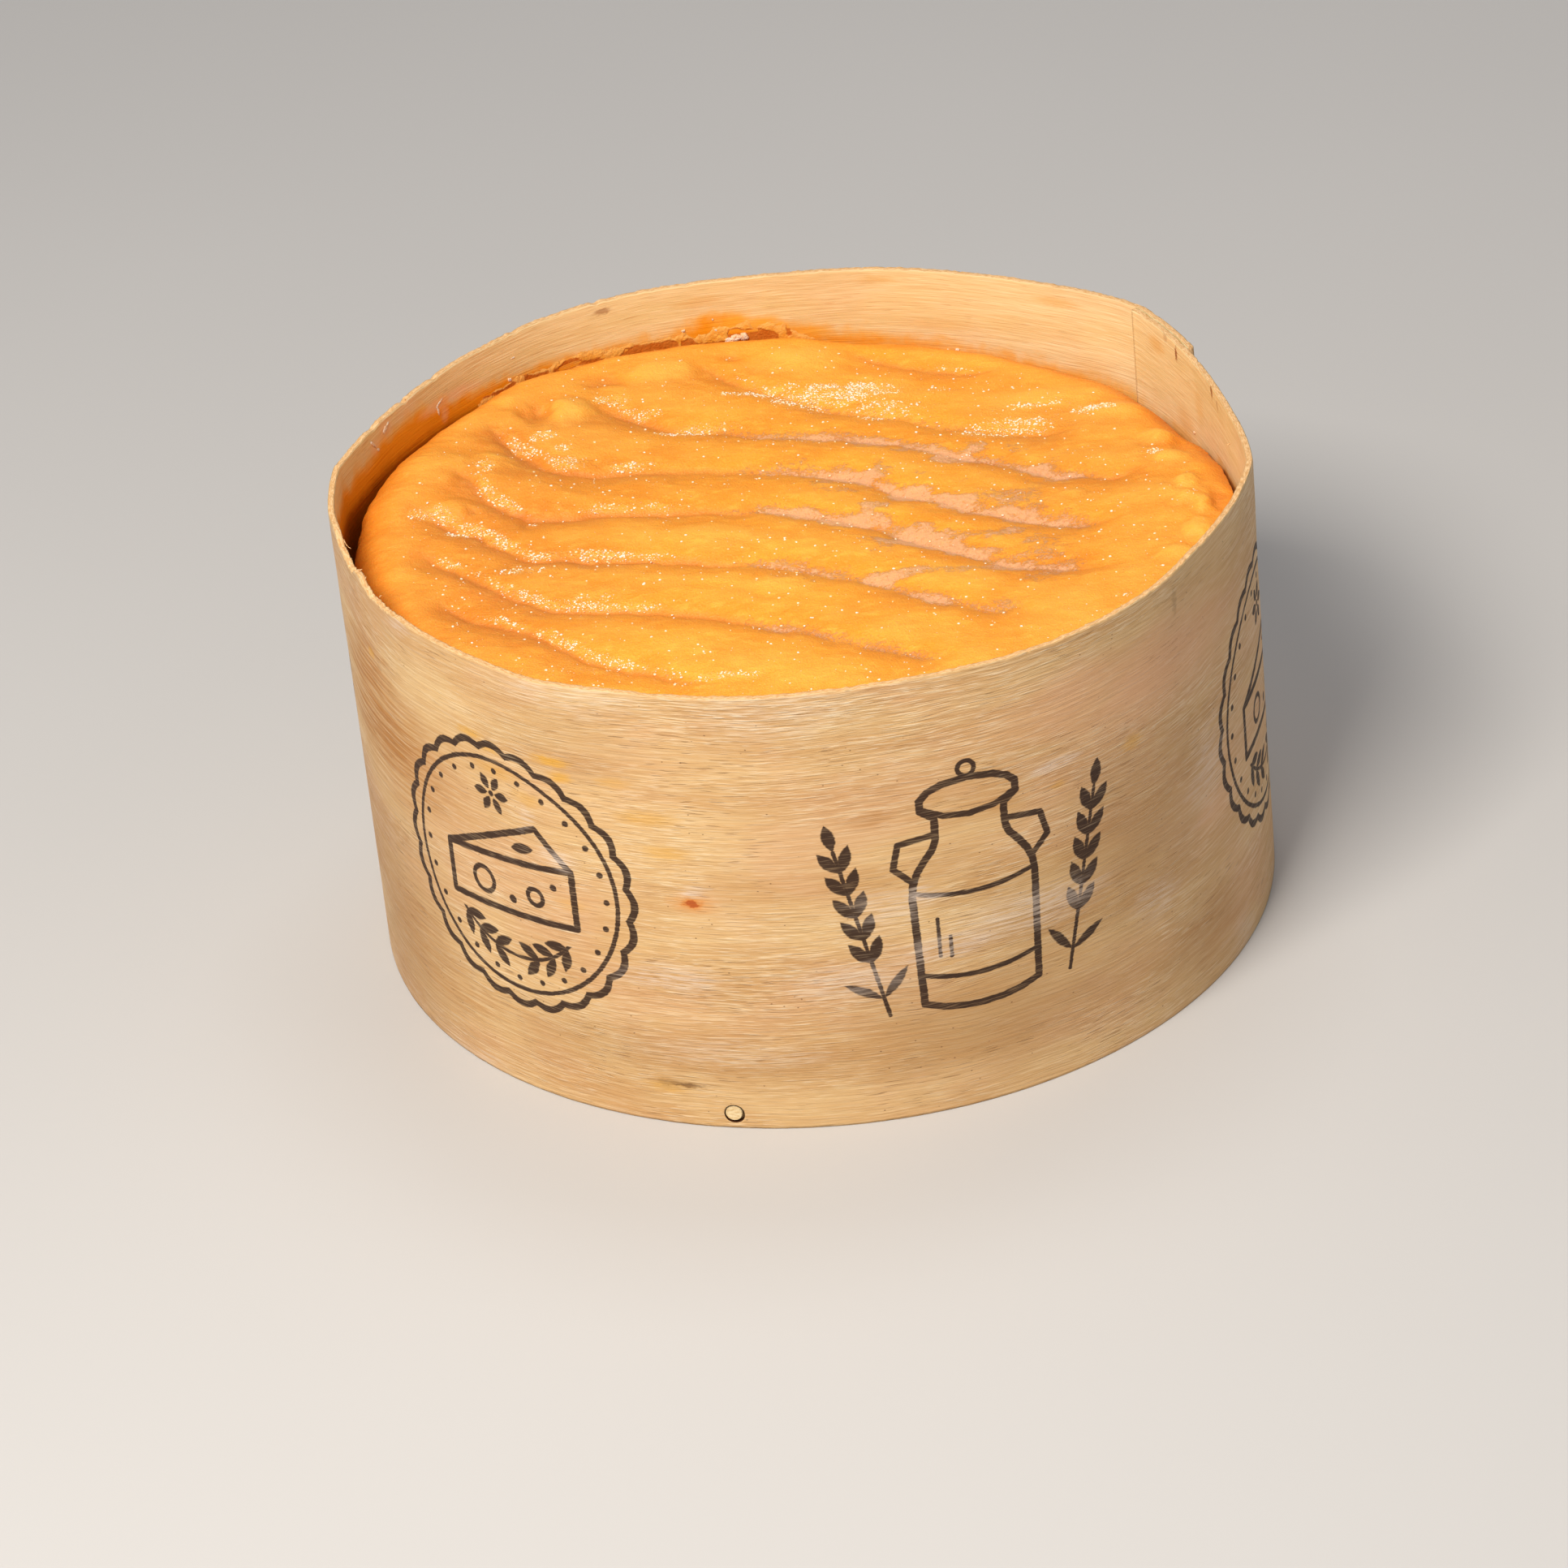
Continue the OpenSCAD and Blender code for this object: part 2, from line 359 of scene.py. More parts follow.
# Shoulder of the cheese: azimuth, height of its top, width, depth, 0 for a round profile and 1 for a slope.
EDGE = [
    (-180, 52.2, 4.0, 2.5, 0), (-165, 52.8, 3.4, 2.0, 0), (-152, 53.0, 3.0, 1.8, 0), (-140, 54.2, 3.6, 2.2, 0),
    (-130, 54.4, 4.2, 2.8, 0), (-122, 54.9, 4.7, 3.2, 0), (-113, 55.8, 5.3, 3.7, 0), (-104, 55.3, 5.9, 4.1, 0),
    (-96, 54.2, 6.4, 4.6, 0), (-78, 53.7, 6.8, 4.4, 0.35), (-60, 53.3, 7.0, 4.6, 0), (-30, 52.2, 6.0, 4.0, 0), (0, 51.2, 5.0, 3.0, 0),
    (45, 50.9, 5.0, 2.4, 0.4), (72, 51.9, 4.5, 1.3, 0.8), (86, 52.7, 4.5, 1.2, 0.9), (94, 52.1, 4.7, 1.5, 0.9), (103, 51.6, 5.5, 2.4, 0.9),
    (112, 50.8, 6.5, 3.8, 0.5), (130, 50.1, 6.0, 3.9, 0.1), (150, 50.4, 5.0, 3.5, 0), (166, 50.9, 4.6, 3.0, 0),
    (180, 52.2, 4.0, 2.5, 0)]


def edge_top(az):
    return table(EDGE, az, 1)


def edge_w(az):
    return table(EDGE, az, 2)


def edge_d(az):
    return table(EDGE, az, 3)


def shoulder_drop(az, u):
    """Drop of the shoulder where u runs from 0 at its top to 1 at the side."""
    k = table(EDGE, az, 4)
    return edge_d(az) * ((1 - k) * (1 - np.sqrt(1 - u * u)) + k * u * u)


def top_base(x, y):
    """Height of the cheese's top without its folds."""
    az = azimuth(x, y)
    rin = side_r(az) - edge_w(az)
    rho = np.hypot(x, y) / rin
    inner = 52.2 - 0.035 * x
    at_edge = 52.2 - 0.035 * rin * np.sin(np.radians(az))
    w = smooth((rho - 0.5) / 0.5)
    z = inner + (edge_top(az) - at_edge) * w
    u = np.clip((rho * rin - rin) / (side_r(az) - rin), 0, 1)
    return z - shoulder_drop(az, u)


# ---------------------------------------------------------------- the camera

PITCH, ROLL = 0.5403064, 0.1016481
_R = np.array([[math.cos(ROLL), -math.sin(ROLL), 0], [math.sin(ROLL), math.cos(ROLL), 0], [0, 0, 1.0]])
CAM = _R @ np.array([[1, 0, 0], [0, math.sin(PITCH), math.cos(PITCH)], [0, -math.cos(PITCH), math.sin(PITCH)]])
EYE = CAM.T @ np.array([-0.1036154, 0.2065539, 13.4256254]) * BASE_R
FOCAL = 7337.0

cam = bpy.data.objects.new("camera", bpy.data.cameras.new("camera"))
cam.data.sensor_width = 36.0
cam.data.lens = FOCAL / 1932 * 36.0
cam.data.clip_start, cam.data.clip_end = 0.05, 20.0
cam.matrix_world = Matrix.Translation(EYE * MM) @ Matrix(CAM.T.tolist()).to_4x4()
scene.collection.objects.link(cam)
scene.camera = cam


def picture(p):
    """Place in the camera's picture of points in millimetres."""
    c = (np.asarray(p, float) - EYE) @ CAM.T
    return 966 + FOCAL * c[..., 0] / -c[..., 2], 966 - FOCAL * c[..., 1] / -c[..., 2]


def ray(px, py):
    return CAM.T @ np.array([(px - 966) / FOCAL, -(py - 966) / FOCAL, -1.0])


def seen_on_top(px, py, drop=0.0):
    """Point (x, y) of the cheese's top that the camera sees at a place of its picture."""
    d = ray(px, py)
    z = 51.5
    for _ in range(12):
        k = (z - EYE[2]) / d[2]
        x, y = EYE[0] + k * d[0], EYE[1] + k * d[1]
        z = float(top_base(np.array(x), np.array(y))) - drop
    return x, y


def seen_on_wall(px, py, inside=True):
    """(azimuth, height) of the wall that the camera sees at a place of its picture."""
    d = ray(px, py)
    z = np.arange(60.2 if inside else 62.0, 30.0 if inside else 0.0, -0.02)
    k = (z - EYE[2]) / d[2]
    x, y = EYE[0] + k * d[0], EYE[1] + k * d[1]
    az = azimuth(x, y)
    e = np.hypot(x, y) - (wall_in(az, z) if inside else wall_out(az, z))
    hit = np.nonzero((e[:-1] < 0) & (e[1:] >= 0))[0] if inside else np.nonzero((e[:-1] > 0) & (e[1:] <= 0))[0]
    if not len(hit):
        return None
    return float(az[hit[0]]), float(z[hit[0]])


def strip_at(px, py, inside):
    """Place on the strip (millimetres along it, height) of a spot in the picture."""
    hit = seen_on_wall(px, py, inside)
    while hit is None:
        px, py = px + (2 if px < 966 else -2), py + (2 if inside else 0)
        hit = seen_on_wall(px, py, inside)
    az, z = hit
    return float((s_inner if inside else s_outer)(az)) * ARC, z


# ---------------------------------------------------------------- folds of the rind

# Each fold is a line of points (x, y) on the level z = 50.5, seen along the camera's rays, then its depth.
FOLDS = [
    ([(-46, -7), (-41, -13.5), (-35, -18), (-27, -26.5), (-17, -33.5), (-10, -38)], 1.15),
    ([(-48.5, 6.4), (-44, 0.3), (-38, -7.3), (-31, -13.5), (-23, -15.4), (-14, -18), (-6.4, -22), (0.5, -25.7), (6.6, -30), (13.5, -34), (20, -35)], 1.15),
    ([(-49, 18.7), (-44.7, 12.5), (-39, 6.4), (-34, 0.3), (-28, -1.6), (-19.4, -3), (-14, -5), (-7, -6.6), (-0.3, -9.6), (5, -12.3), (10.4, -16.5), (16.5, -21), (22.6, -25), (29.5, -27)], 1.2),
    ([(-44.7, 27), (-41, 22.5), (-38, 16.4), (-33, 11), (-29, 10), (-22, 9.5), (-15.6, 8.3), (-6.4, 6.8), (-0.3, 4.9), (5, 2.6), (10.4, -1.2), (15, -5), (19.6, -9), (24, -12.3), (29.5, -15.4), (35, -16.5), (39.5, -17.3)], 1.25),
    ([(-39, 38), (-36, 32), (-33, 27), (-29.4, 22.5), (-25, 20.6), (-18.7, 19.4), (-10, 18), (-2.6, 16.8), (2.8, 15.2), (8, 13), (11, 10), (15, 6.4), (19.6, 3), (24, -0.5), (29.5, -3), (35.7, -5), (42.5, -5.8)], 1.25),
    ([(-26, 40), (-21, 36), (-17, 33), (-12.5, 30), (-6.4, 28), (-1.8, 25.6), (4.3, 24.4), (9, 23.3), (13.5, 21), (19, 17), (24, 14), (29.5, 10), (35, 7.2), (41, 6), (47, 6.4)], 1.2),
    ([(-11, 48.5), (-8, 44), (-4, 40), (0.5, 36.3), (5, 32.4), (10.4, 29.4), (16.5, 26.3), (20.4, 23.6), (25, 21.7), (29.5, 19.4), (35, 18.7), (40, 19)], 1.15),
    ([(7.3, 48.5), (11, 45), (16.5, 41), (21, 38), (26.5, 37), (32, 36.3)], 0.8),
    ([(-33, 11.6), (-33.6, 9.4), (-33.2, 7.6)], 0.4),
]


def spline(points, step=0.7):
    p = np.array(points, float)
    p = np.vstack([2 * p[0] - p[1], p, 2 * p[-1] - p[-2]])
    out = []
    for i in range(1, len(p) - 2):
        n = max(2, int(np.linalg.norm(p[i + 1] - p[i]) / step))
        t = (np.arange(n) / n)[:, None]
        out.append(0.5 * (2 * p[i] + (p[i + 1] - p[i - 1]) * t + (2 * p[i - 1] - 5 * p[i] + 4 * p[i + 1] - p[i + 2]) * t ** 2
                          + (3 * p[i] - p[i - 1] - 3 * p[i + 1] + p[i + 2]) * t ** 3))
    return np.vstack(out + [p[-2][None]])


def drop_to_top(points, drop=0.9):
    out = []
    for x0, y0 in points:
        d = np.array([x0, y0, 50.5]) - EYE
        x, y = x0, y0
        for _ in range(12):
            z = float(top_base(np.array(x), np.array(y))) - drop
            k = (z - EYE[2]) / d[2]
            x, y = EYE[0] + k * d[0], EYE[1] + k * d[1]
        out.append((x, y))
    return out


def fold_distance(line, x, y):
    """Signed distance (north positive) and length along the line, for flat arrays x and y."""
    a, b = line[:-1], line[1:]
    ab = b - a
    l2 = (ab ** 2).sum(1)
    along = np.concatenate([[0], np.cumsum(np.sqrt(l2))])
    best = np.full(len(x), 1e9)
    sign = np.ones(len(x))
    arc = np.zeros(len(x))
    for k in range(len(a)):
        qx, qy = x - a[k, 0], y - a[k, 1]
        h = np.clip((qx * ab[k, 0] + qy * ab[k, 1]) / l2[k], 0, 1)
        dx, dy = qx - h * ab[k, 0], qy - h * ab[k, 1]
        d = dx * dx + dy * dy
        near = d < best
        best = np.where(near, d, best)
        sign = np.where(near, np.sign(ab[k, 0] * qy - ab[k, 1] * qx), sign)
        arc = np.where(near, along[k] + h * math.sqrt(l2[k]), arc)
    return np.sqrt(best) * np.where(sign == 0, 1, sign), arc, along[-1]


# Soft bumps and dimples at places of the picture: x, y, radius along and across in mm, height.
LUMPS = [
    (697, 505, 2.8, 2.6, 0.85), (660, 505, 1.6, 2.6, -0.75), (633, 492, 3.0, 1.6, 0.35), (815, 457, 4.0, 2.6, 0.55),
    (612, 565, 2.4, 2.4, 0.55), (598, 590, 2.2, 2.0, 0.35), (640, 545, 1.6, 2.2, -0.3), (745, 470, 3.0, 1.6, -0.35),
    (560, 620, 3.0, 1.6, 0.35), (578, 622, 0.8, 1.0, -0.3), (990, 440, 5.0, 3.0, 0.6), (900, 437, 1.8, 1.4, -0.35),
    (1385, 505, 5.0, 2.6, 0.7), (1300, 490, 6.0, 3.0, 0.35),
    (1428, 535, 2.3, 2.0, 0.75), (1443, 562, 1.8, 1.8, 0.5), (1466, 590, 1.3, 1.8, 0.65), (1460, 612, 1.4, 1.4, 0.5),
    (1482, 618, 1.2, 1.6, 0.6), (1476, 650, 1.6, 2.2, 0.7), (1450, 678, 1.8, 1.4, 0.5), (1500, 610, 1.2, 3.4, -0.45),
    (1452, 545, 1.0, 2.2, -0.4), (1322, 605, 1.4, 0.9, 0.3), (1180, 610, 4.0, 2.0, 0.3), (960, 715, 3.5, 2.0, 0.35),
    (1100, 772, 3.0, 2.0, 0.3), (1220, 660, 3.0, 1.6, 0.25), (700, 575, 4.5, 2.0, 0.3), (860, 655, 5.0, 2.0, 0.2),
]
LUMP_AT = [(*seen_on_top(px, py), ra, rb, h) for px, py, ra, rb, h in LUMPS]

# Wet, grainy patches: x, y of the picture, radii in mm.
WET = [
    (752, 492, 2.6, 1.2, 1.0), (795, 506, 2.4, 1.2, 0.9), (850, 524, 6.0, 1.5, 0.9), (668, 536, 1.6, 1.4, 1.0), (690, 552, 1.8, 1.2, 0.9),
    (597, 572, 1.6, 1.6, 0.9), (526, 628, 2.6, 1.0, 1.0), (568, 648, 3.0, 1.2, 0.9), (1030, 484, 9.0, 3.2, 1.0), (1090, 500, 5.5, 2.4, 0.8), (1150, 478, 4.0, 1.2, 0.5), (1270, 500, 6.0, 1.2, 0.6),
    (1240, 522, 8.0, 3.0, 0.7), (1350, 503, 4.0, 2.0, 0.9), (1425, 555, 1.6, 1.6, 0.8), (940, 478, 7.0, 1.5, 0.8), (700, 565, 4, 1.2, 0.6),
    (640, 700, 4.5, 1.4, 0.6), (720, 735, 6.0, 2.0, 0.5), (890, 832, 6.0, 1.0, 0.8), (1382, 730, 1.6, 0.8, 0.7), (960, 705, 5, 1.5, 0.35),
    (720, 820, 10, 2.4, 0.4), (760, 690, 8, 2, 0.3),
]
WET_AT = [(*seen_on_top(px, py), ra, rb, h) for px, py, ra, rb, h in WET]

LINES = [(spline(drop_to_top(p)), depth) for p, depth in FOLDS]


def relief(x, y):
    """Height of the folds and lumps over the plain top, and the masks that go with them."""
    x, y = np.asarray(x, float), np.asarray(y, float)
    wx = x + 0.45 * fbm(x / 3.2, y / 3.2, 0, 11, 2) + 0.12 * noise(x / 0.9, y / 0.9, 0, 12)
    wy = y + 0.55 * fbm(x / 3.6, y / 3.6, 5, 13, 2) + 0.12 * noise(x / 0.8, y / 0.8, 3, 14)
    h = np.zeros_like(x)
    crease = np.zeros_like(x)
    wet = np.zeros_like(x)
    bloom = np.zeros_like(x)
    fold_shade = np.zeros_like(x)
    middle = smooth((x + 14) / 14) * smooth((44 - x) / 14)
    for k, (line, depth) in enumerate(LINES):
        d, arc, total = fold_distance(line, wx, wy)
        short = total < 10
        ends = smooth((arc + 0.01) / (2.0 if short else 7.0)) * smooth((total - arc) / (2.0 if short else 9.0))
        away = np.abs(d)
        vary = 1 + 0.22 * noise(x / 6.0, y / 6.0, k, 21)
        sharp = 0.24 * (1 - 0.85 * middle * (k < 7))
        north = 0.72 * np.exp(-(away / 2.3) ** 1.15) + sharp * np.exp(-away / 0.45)
        southern = 0.86 * np.exp(-(away / 3.3) ** 1.3) + 0.5 * sharp * np.exp(-away / 0.5)
        g = np.where(d > 0, north, southern)
        if short:
            g = 0.9 * np.exp(-away / 0.5)
        h -= 1.16 * depth * vary * ends * g
        # Painted shade along the bottom of each fold.
        crease = np.maximum(crease, ends * np.exp(-(away / 0.50)) * (1 - 0.88 * middle * (k < 7)))
        # Painted shade on the slope just south of each fold, and close to it on the north.
        fold_shade = np.maximum(fold_shade, ends * np.where(d < 0, np.exp(-(away / 2.4) ** 1.6), np.exp(-(away / 0.35))))
        wet = np.maximum(wet, ends * np.where(d > 0, np.exp(-((away - 1.1) / 1.2) ** 2), 0.0) * (0.55 + 0.45 * noise(x / 4, y / 4, k, 22))
                         * (1 - (0.92 if k < 6 else 0.45) * smooth((x + 20) / 12)))
        bloom = np.maximum(bloom, middle * ends * (0.45 if k == 6 else 0.25 if k == 7 else 1.0) * np.where(d > 0, np.exp(-(away / 1.45) ** 1.4), np.exp(-(away / 1.1) ** 1.4)))
    lx = wx + 0.8 * fbm(x / 2.4, y / 2.0, 9, 17, 2)
    ly = wy + 0.7 * fbm(x / 2.2, y / 2.2, 13, 18, 2)
    for cx, cy, ra, rb, a in LUMP_AT:
        g = np.exp(-((lx - cx) / ra) ** 2 - ((ly - cy) / rb) ** 2)
        h += (1.25 if a > 0 else 1.5) * a * g
        if a < 0:
            # Painted shade in each dimple.
            fold_shade = np.maximum(fold_shade, g)
        else:
            # A soft moat round each lump.
            q = np.sqrt(((lx - cx) / ra) ** 2 + ((ly - cy) / rb) ** 2)
            h -= 0.22 * a * np.exp(-((q - 1.55) / 0.45) ** 2)
            # Painted shade on the south side of each lump's moat.
            fold_shade = np.maximum(fold_shade, min(1.0, 0.7 * a) * np.exp(-((q - 1.5) / 0.5) ** 2) * smooth(0.5 + (cy - ly) / rb))
    for cx, cy, ra, rb, a in WET_AT:
        wet = np.maximum(wet, a * np.exp(-((wx - cx) / ra) ** 2 - ((wy - cy) / rb) ** 2))
    # Long soft swells that follow the folds, then finer ones.
    c, s = math.cos(math.radians(-16)), math.sin(math.radians(-16))
    u, v = c * x + s * y, -s * x + c * y
    h += 0.22 * fbm(u / 11, v / 5.0, 0, 31, 2) + 0.07 * fbm(u / 3.4, v / 1.7, 0, 33, 2)
    patch = np.clip(0.5 + 0.9 * fbm(x / 5, y / 3, 7, 41, 3), 0, 1)
    bloom = np.clip(bloom * (0.55 + 0.6 * patch) + 0.5 * smooth((x + 2) / 10) * smooth((34 - x) / 10) * smooth((28 - np.abs(y + 2)) / 8) * (patch > 0.62) * (patch - 0.62) / 0.38
                    + 0.36 * smooth((x + 6) / 10) * smooth((40 - x) / 10) * smooth((24 - np.abs(y + 1)) / 10) * np.clip(2.2 * (patch - 0.35), 0, 1), 0, 1)
    h += bloom * 0.08 * fbm(x / 0.7, y / 0.5, 0, 43, 2)
    az, rr = azimuth(x, y), np.hypot(x, y)
    left = smooth((42 - np.abs(az + 92)) / 16) * smooth((rr - 44) / 6)
    h += left * (0.045 * noise(az * 1.5, rr / 2.6, 0, 45) + 0.028 * noise(az * 3.1, rr / 1.7, 0, 46))
    return h, crease, np.clip(wet, 0, 1), bloom, fold_shade


# ---------------------------------------------------------------- materials

def wood_bits(g, p, fine=1.0):
    """Shared grain of peeled veneer. p is (along the strip, height, depth) in millimetres."""
    def stretched(length, width, shift):
        return g.v("ADD", g.v("MULTIPLY", p, (1 / length, 1 / width, 1.0)), (shift, shift * 1.7, shift * 0.3))
    wander = g.noise(stretched(14.0, 9.0, 3.1), 1.0, 1.0)
    shift = g.v("SCALE", (0.0, 1.0, 0.0), scale=g.m("SUBTRACT", wander, 0.5))
    p = g.v("ADD", p, shift)
    broad = g.noise(stretched(40.0, 6.0, 0.0), 1.0, 2.0, 0.5)
    cloud = g.noise(stretched(20.0, 13.0, 9.0), 1.0, 3.0, 0.55)
    fibre = g.noise(stretched(3.8, 0.16, 5.0), 1.0, 1.0, 0.5)
    long_fibre = g.noise(stretched(13.0, 0.42, 7.0), 1.0, 2.0, 0.5)
    thread = g.noise(stretched(2.6, 0.095, 12.0), 1.0, 0.0)
    return p, broad, cloud, fibre, long_fibre, thread, stretched


def seg(g, p, a, b, w):
    """Distance from a stroke of half width w."""
    dx, dy = b[0] - a[0], b[1] - a[1]
    l2 = dx * dx + dy * dy
    q = g.v("SUBTRACT", p, (a[0], a[1], 0))
    h = g.m("MULTIPLY", g.v("DOT_PRODUCT", q, (dx / l2, dy / l2, 0)), 1.0, clamp=True)
    return g.m("SUBTRACT", g.v("DISTANCE", q, g.v("SCALE", (dx, dy, 0.0), scale=h)), w)


def ring(g, p, centre, r, w):
    return g.m("SUBTRACT", g.m("ABSOLUTE", g.m("SUBTRACT", g.v("DISTANCE", p, (centre[0], centre[1], 0)), r)), w)


def leaf(g, p, centre, turn, a, b):
    t = math.radians(turn)
    q = g.v("SUBTRACT", p, (centre[0], centre[1], 0))
    x = g.v("DOT_PRODUCT", q, (math.cos(t) / a, math.sin(t) / a, 0))
    y = g.v("DOT_PRODUCT", q, (-math.sin(t) / b, math.cos(t) / b, 0))
    # A leaf's two sides meet in points: |y| < 1 - x*x.
    return g.m("MULTIPLY", g.m("ADD", g.m("ABSOLUTE", y), g.m("SUBTRACT", g.m("MULTIPLY", x, x), 1.0)), b * 0.7)


def union(g, parts):
    d = parts[0]
    for q in parts[1:]:
        d = g.m("MINIMUM", d, q)
    return d


def print_distance(g, p):
    """Distance from the printed lines: a seal and a milk churn, three times round the band."""
    x, z, _ = g.xyz(p)
    u = g.m("WRAP", g.m("SUBTRACT", x, 345.1), 59.69, -59.69)
    y = g.m("SUBTRACT", z, 30.5)

    # The seal.
    sx = g.m("ADD", u, 29.8)
    q = g.vec(sx, y)
    qa = g.vec(g.m("ABSOLUTE", sx), y)
    r = g.v("LENGTH", q)
    turn = g.m("ARCTAN2", y, sx)
    scallop = g.m("MULTIPLY", g.m("ABSOLUTE", g.m("COSINE", g.m("MULTIPLY", turn, 12.0))), 0.75)
    parts = [
        g.m("SUBTRACT", g.m("ABSOLUTE", g.m("SUBTRACT", r, g.m("ADD", scallop, 17.5))), 0.50),
        ring(g, q, (0, 0), 16.0, 0.30),
    ]
    wrapped = g.m("WRAP", turn, math.pi / 24, -math.pi / 24)
    dot = g.vec(g.m("MULTIPLY", r, g.m("COSINE", wrapped)), g.m("MULTIPLY", r, g.m("SINE", wrapped)))
    parts.append(g.m("SUBTRACT", g.v("DISTANCE", dot, (14.6, 0, 0)), 0.42))
    tip, back, front, low, tip_low = (-10.2, 1.4), (5.6, 8.4), (10.2, 3.4), (10.2, -4.6), (-10.2, -5.6)
    for a, b in ((tip, back), (back, front), (front, tip), (tip, tip_low), (tip_low, low), (low, front)):
        parts.append(seg(g, q, a, b, 0.46))
    parts.append(ring(g, q, (-4.2, -1.9), 1.7, 0.34))
    parts.append(ring(g, q, (4.4, -1.6), 1.15, 0.34))
    parts.append(g.m("SUBTRACT", g.v("DISTANCE", q, (0.6, -3.1, 0)), 0.6))
    parts.append(g.m("SUBTRACT", g.v("DISTANCE", q, (7.4, 0.6, 0)), 0.5))
    parts.append(leaf(g, q, (3.2, 4.9), 12, 1.9, 0.75))
    # Sprig below the wedge.
    stem = g.m("MAXIMUM", ring(g, q, (0, 0), 11.4, 0.26), g.m("ADD", y, 7.4))
    parts.append(stem)
    for az, off, lean in ((12, 1.15, 38), (12, -1.15, -38), (26, 1.2, 38), (26, -1.2, -38), (40, 1.1, 38), (40, -1.1, -38)):
        a = math.radians(-90 + az)
        rr = 11.4 + off
        parts.append(leaf(g, qa, (rr * math.cos(a), rr * math.sin(a)), az + lean, 1.75, 0.72))
    # Flower above it.
    f = g.v("SUBTRACT", q, (-1.0, 11.2, 0))
    fx, fy, _ = g.xyz(f)
    fr = g.v("LENGTH", f)
    ft = g.m("WRAP", g.m("ARCTAN2", fy, fx), math.pi / 6, -math.pi / 6)
    petal = g.vec(g.m("MULTIPLY", fr, g.m("COSINE", ft)), g.m("MULTIPLY", fr, g.m("SINE", ft)))
    parts.append(leaf(g, petal, (1.75, 0), 0, 1.15, 0.62))
    parts.append(g.m("SUBTRACT", fr, 0.42))

    # The churn between two ears of wheat.
    cx = g.m("SUBTRACT", u, 29.8)
    ca = g.vec(g.m("ABSOLUTE", cx), y)
    outline = [(0, -16.3), (2.6, -16.15), (4.9, -15.75), (7.3, -14.9), (7.7, 0.0), (7.5, 1.7), (6.9, 3.3), (5.9, 4.8), (4.8, 6.2), (4.4, 7.2), (4.3, 8.2), (4.3, 10.4), (5.9, 11.6), (5.9, 13.0), (4.9, 14.0), (3.2, 14.7), (0, 15.1)]
    for a, b in zip(outline[:-1], outline[1:]):
        parts.append(seg(g, ca, a, b, 0.48))
    for a, b in (((5.7, 11.7), (3.2, 10.5)), ((3.2, 10.5), (0, 10.1)), ((7.5, 2.2), (9.7, 4.4)), ((9.7, 4.4), (8.9, 7.6)), ((8.9, 7.6), (4.6, 8.2))):
        parts.append(seg(g, ca, a, b, 0.42))
    parts.append(ring(g, ca, (0, 16.3), 1.0, 0.30))
    sag = g.m("MULTIPLY", g.m("MULTIPLY", cx, cx), 0.021)
    inside = g.m("SUBTRACT", g.m("ABSOLUTE", cx), 7.6)
    for level in (-12.0, -0.6):
        band = g.m("SUBTRACT", g.m("ABSOLUTE", g.m("SUBTRACT", g.m("SUBTRACT", y, level), sag)), 0.34)
        parts.append(g.m("MAXIMUM", band, inside))
    parts.append(seg(g, g.vec(cx, y), (-4.9, -8.6), (-4.9, -3.4), 0.24))
    parts.append(seg(g, g.vec(cx, y), (-3.5, -8.9), (-3.5, -6.2), 0.24))
    base, tilt = (11.6, -15.6), math.radians(78)
    e = g.v("SUBTRACT", ca, (*base, 0))
    ey = g.v("DOT_PRODUCT", e, (math.cos(tilt), math.sin(tilt), 0))
    ex = g.m("ABSOLUTE", g.v("DOT_PRODUCT", e, (math.sin(tilt), -math.cos(tilt), 0)))
    ear = g.vec(ex, ey)
    parts.append(seg(g, ear, (0, 0), (0, 24), 0.26))
    for level in (9.5, 12.8, 16.1, 19.4, 22.7):
        parts.append(leaf(g, ear, (1.05, level), 62, 1.9, 0.78))
    parts.append(leaf(g, ear, (0, 26.0), 90, 1.9, 0.8))
    parts.append(leaf(g, ear, (2.0, 4.2), 40, 2.6, 0.6))
    return union(g, parts)


def on_strip(rows, inside=False):
    """Rows that start with a place of the picture, moved to the strip."""
    return [(*strip_at(px, py, inside), *rest) for px, py, *rest in rows]


def round_back(rows):
    """Rows that start with an azimuth and a height, moved to the strip."""
    return [(float(s_outer(az)) * ARC, z, *rest) for az, z, *rest in rows]


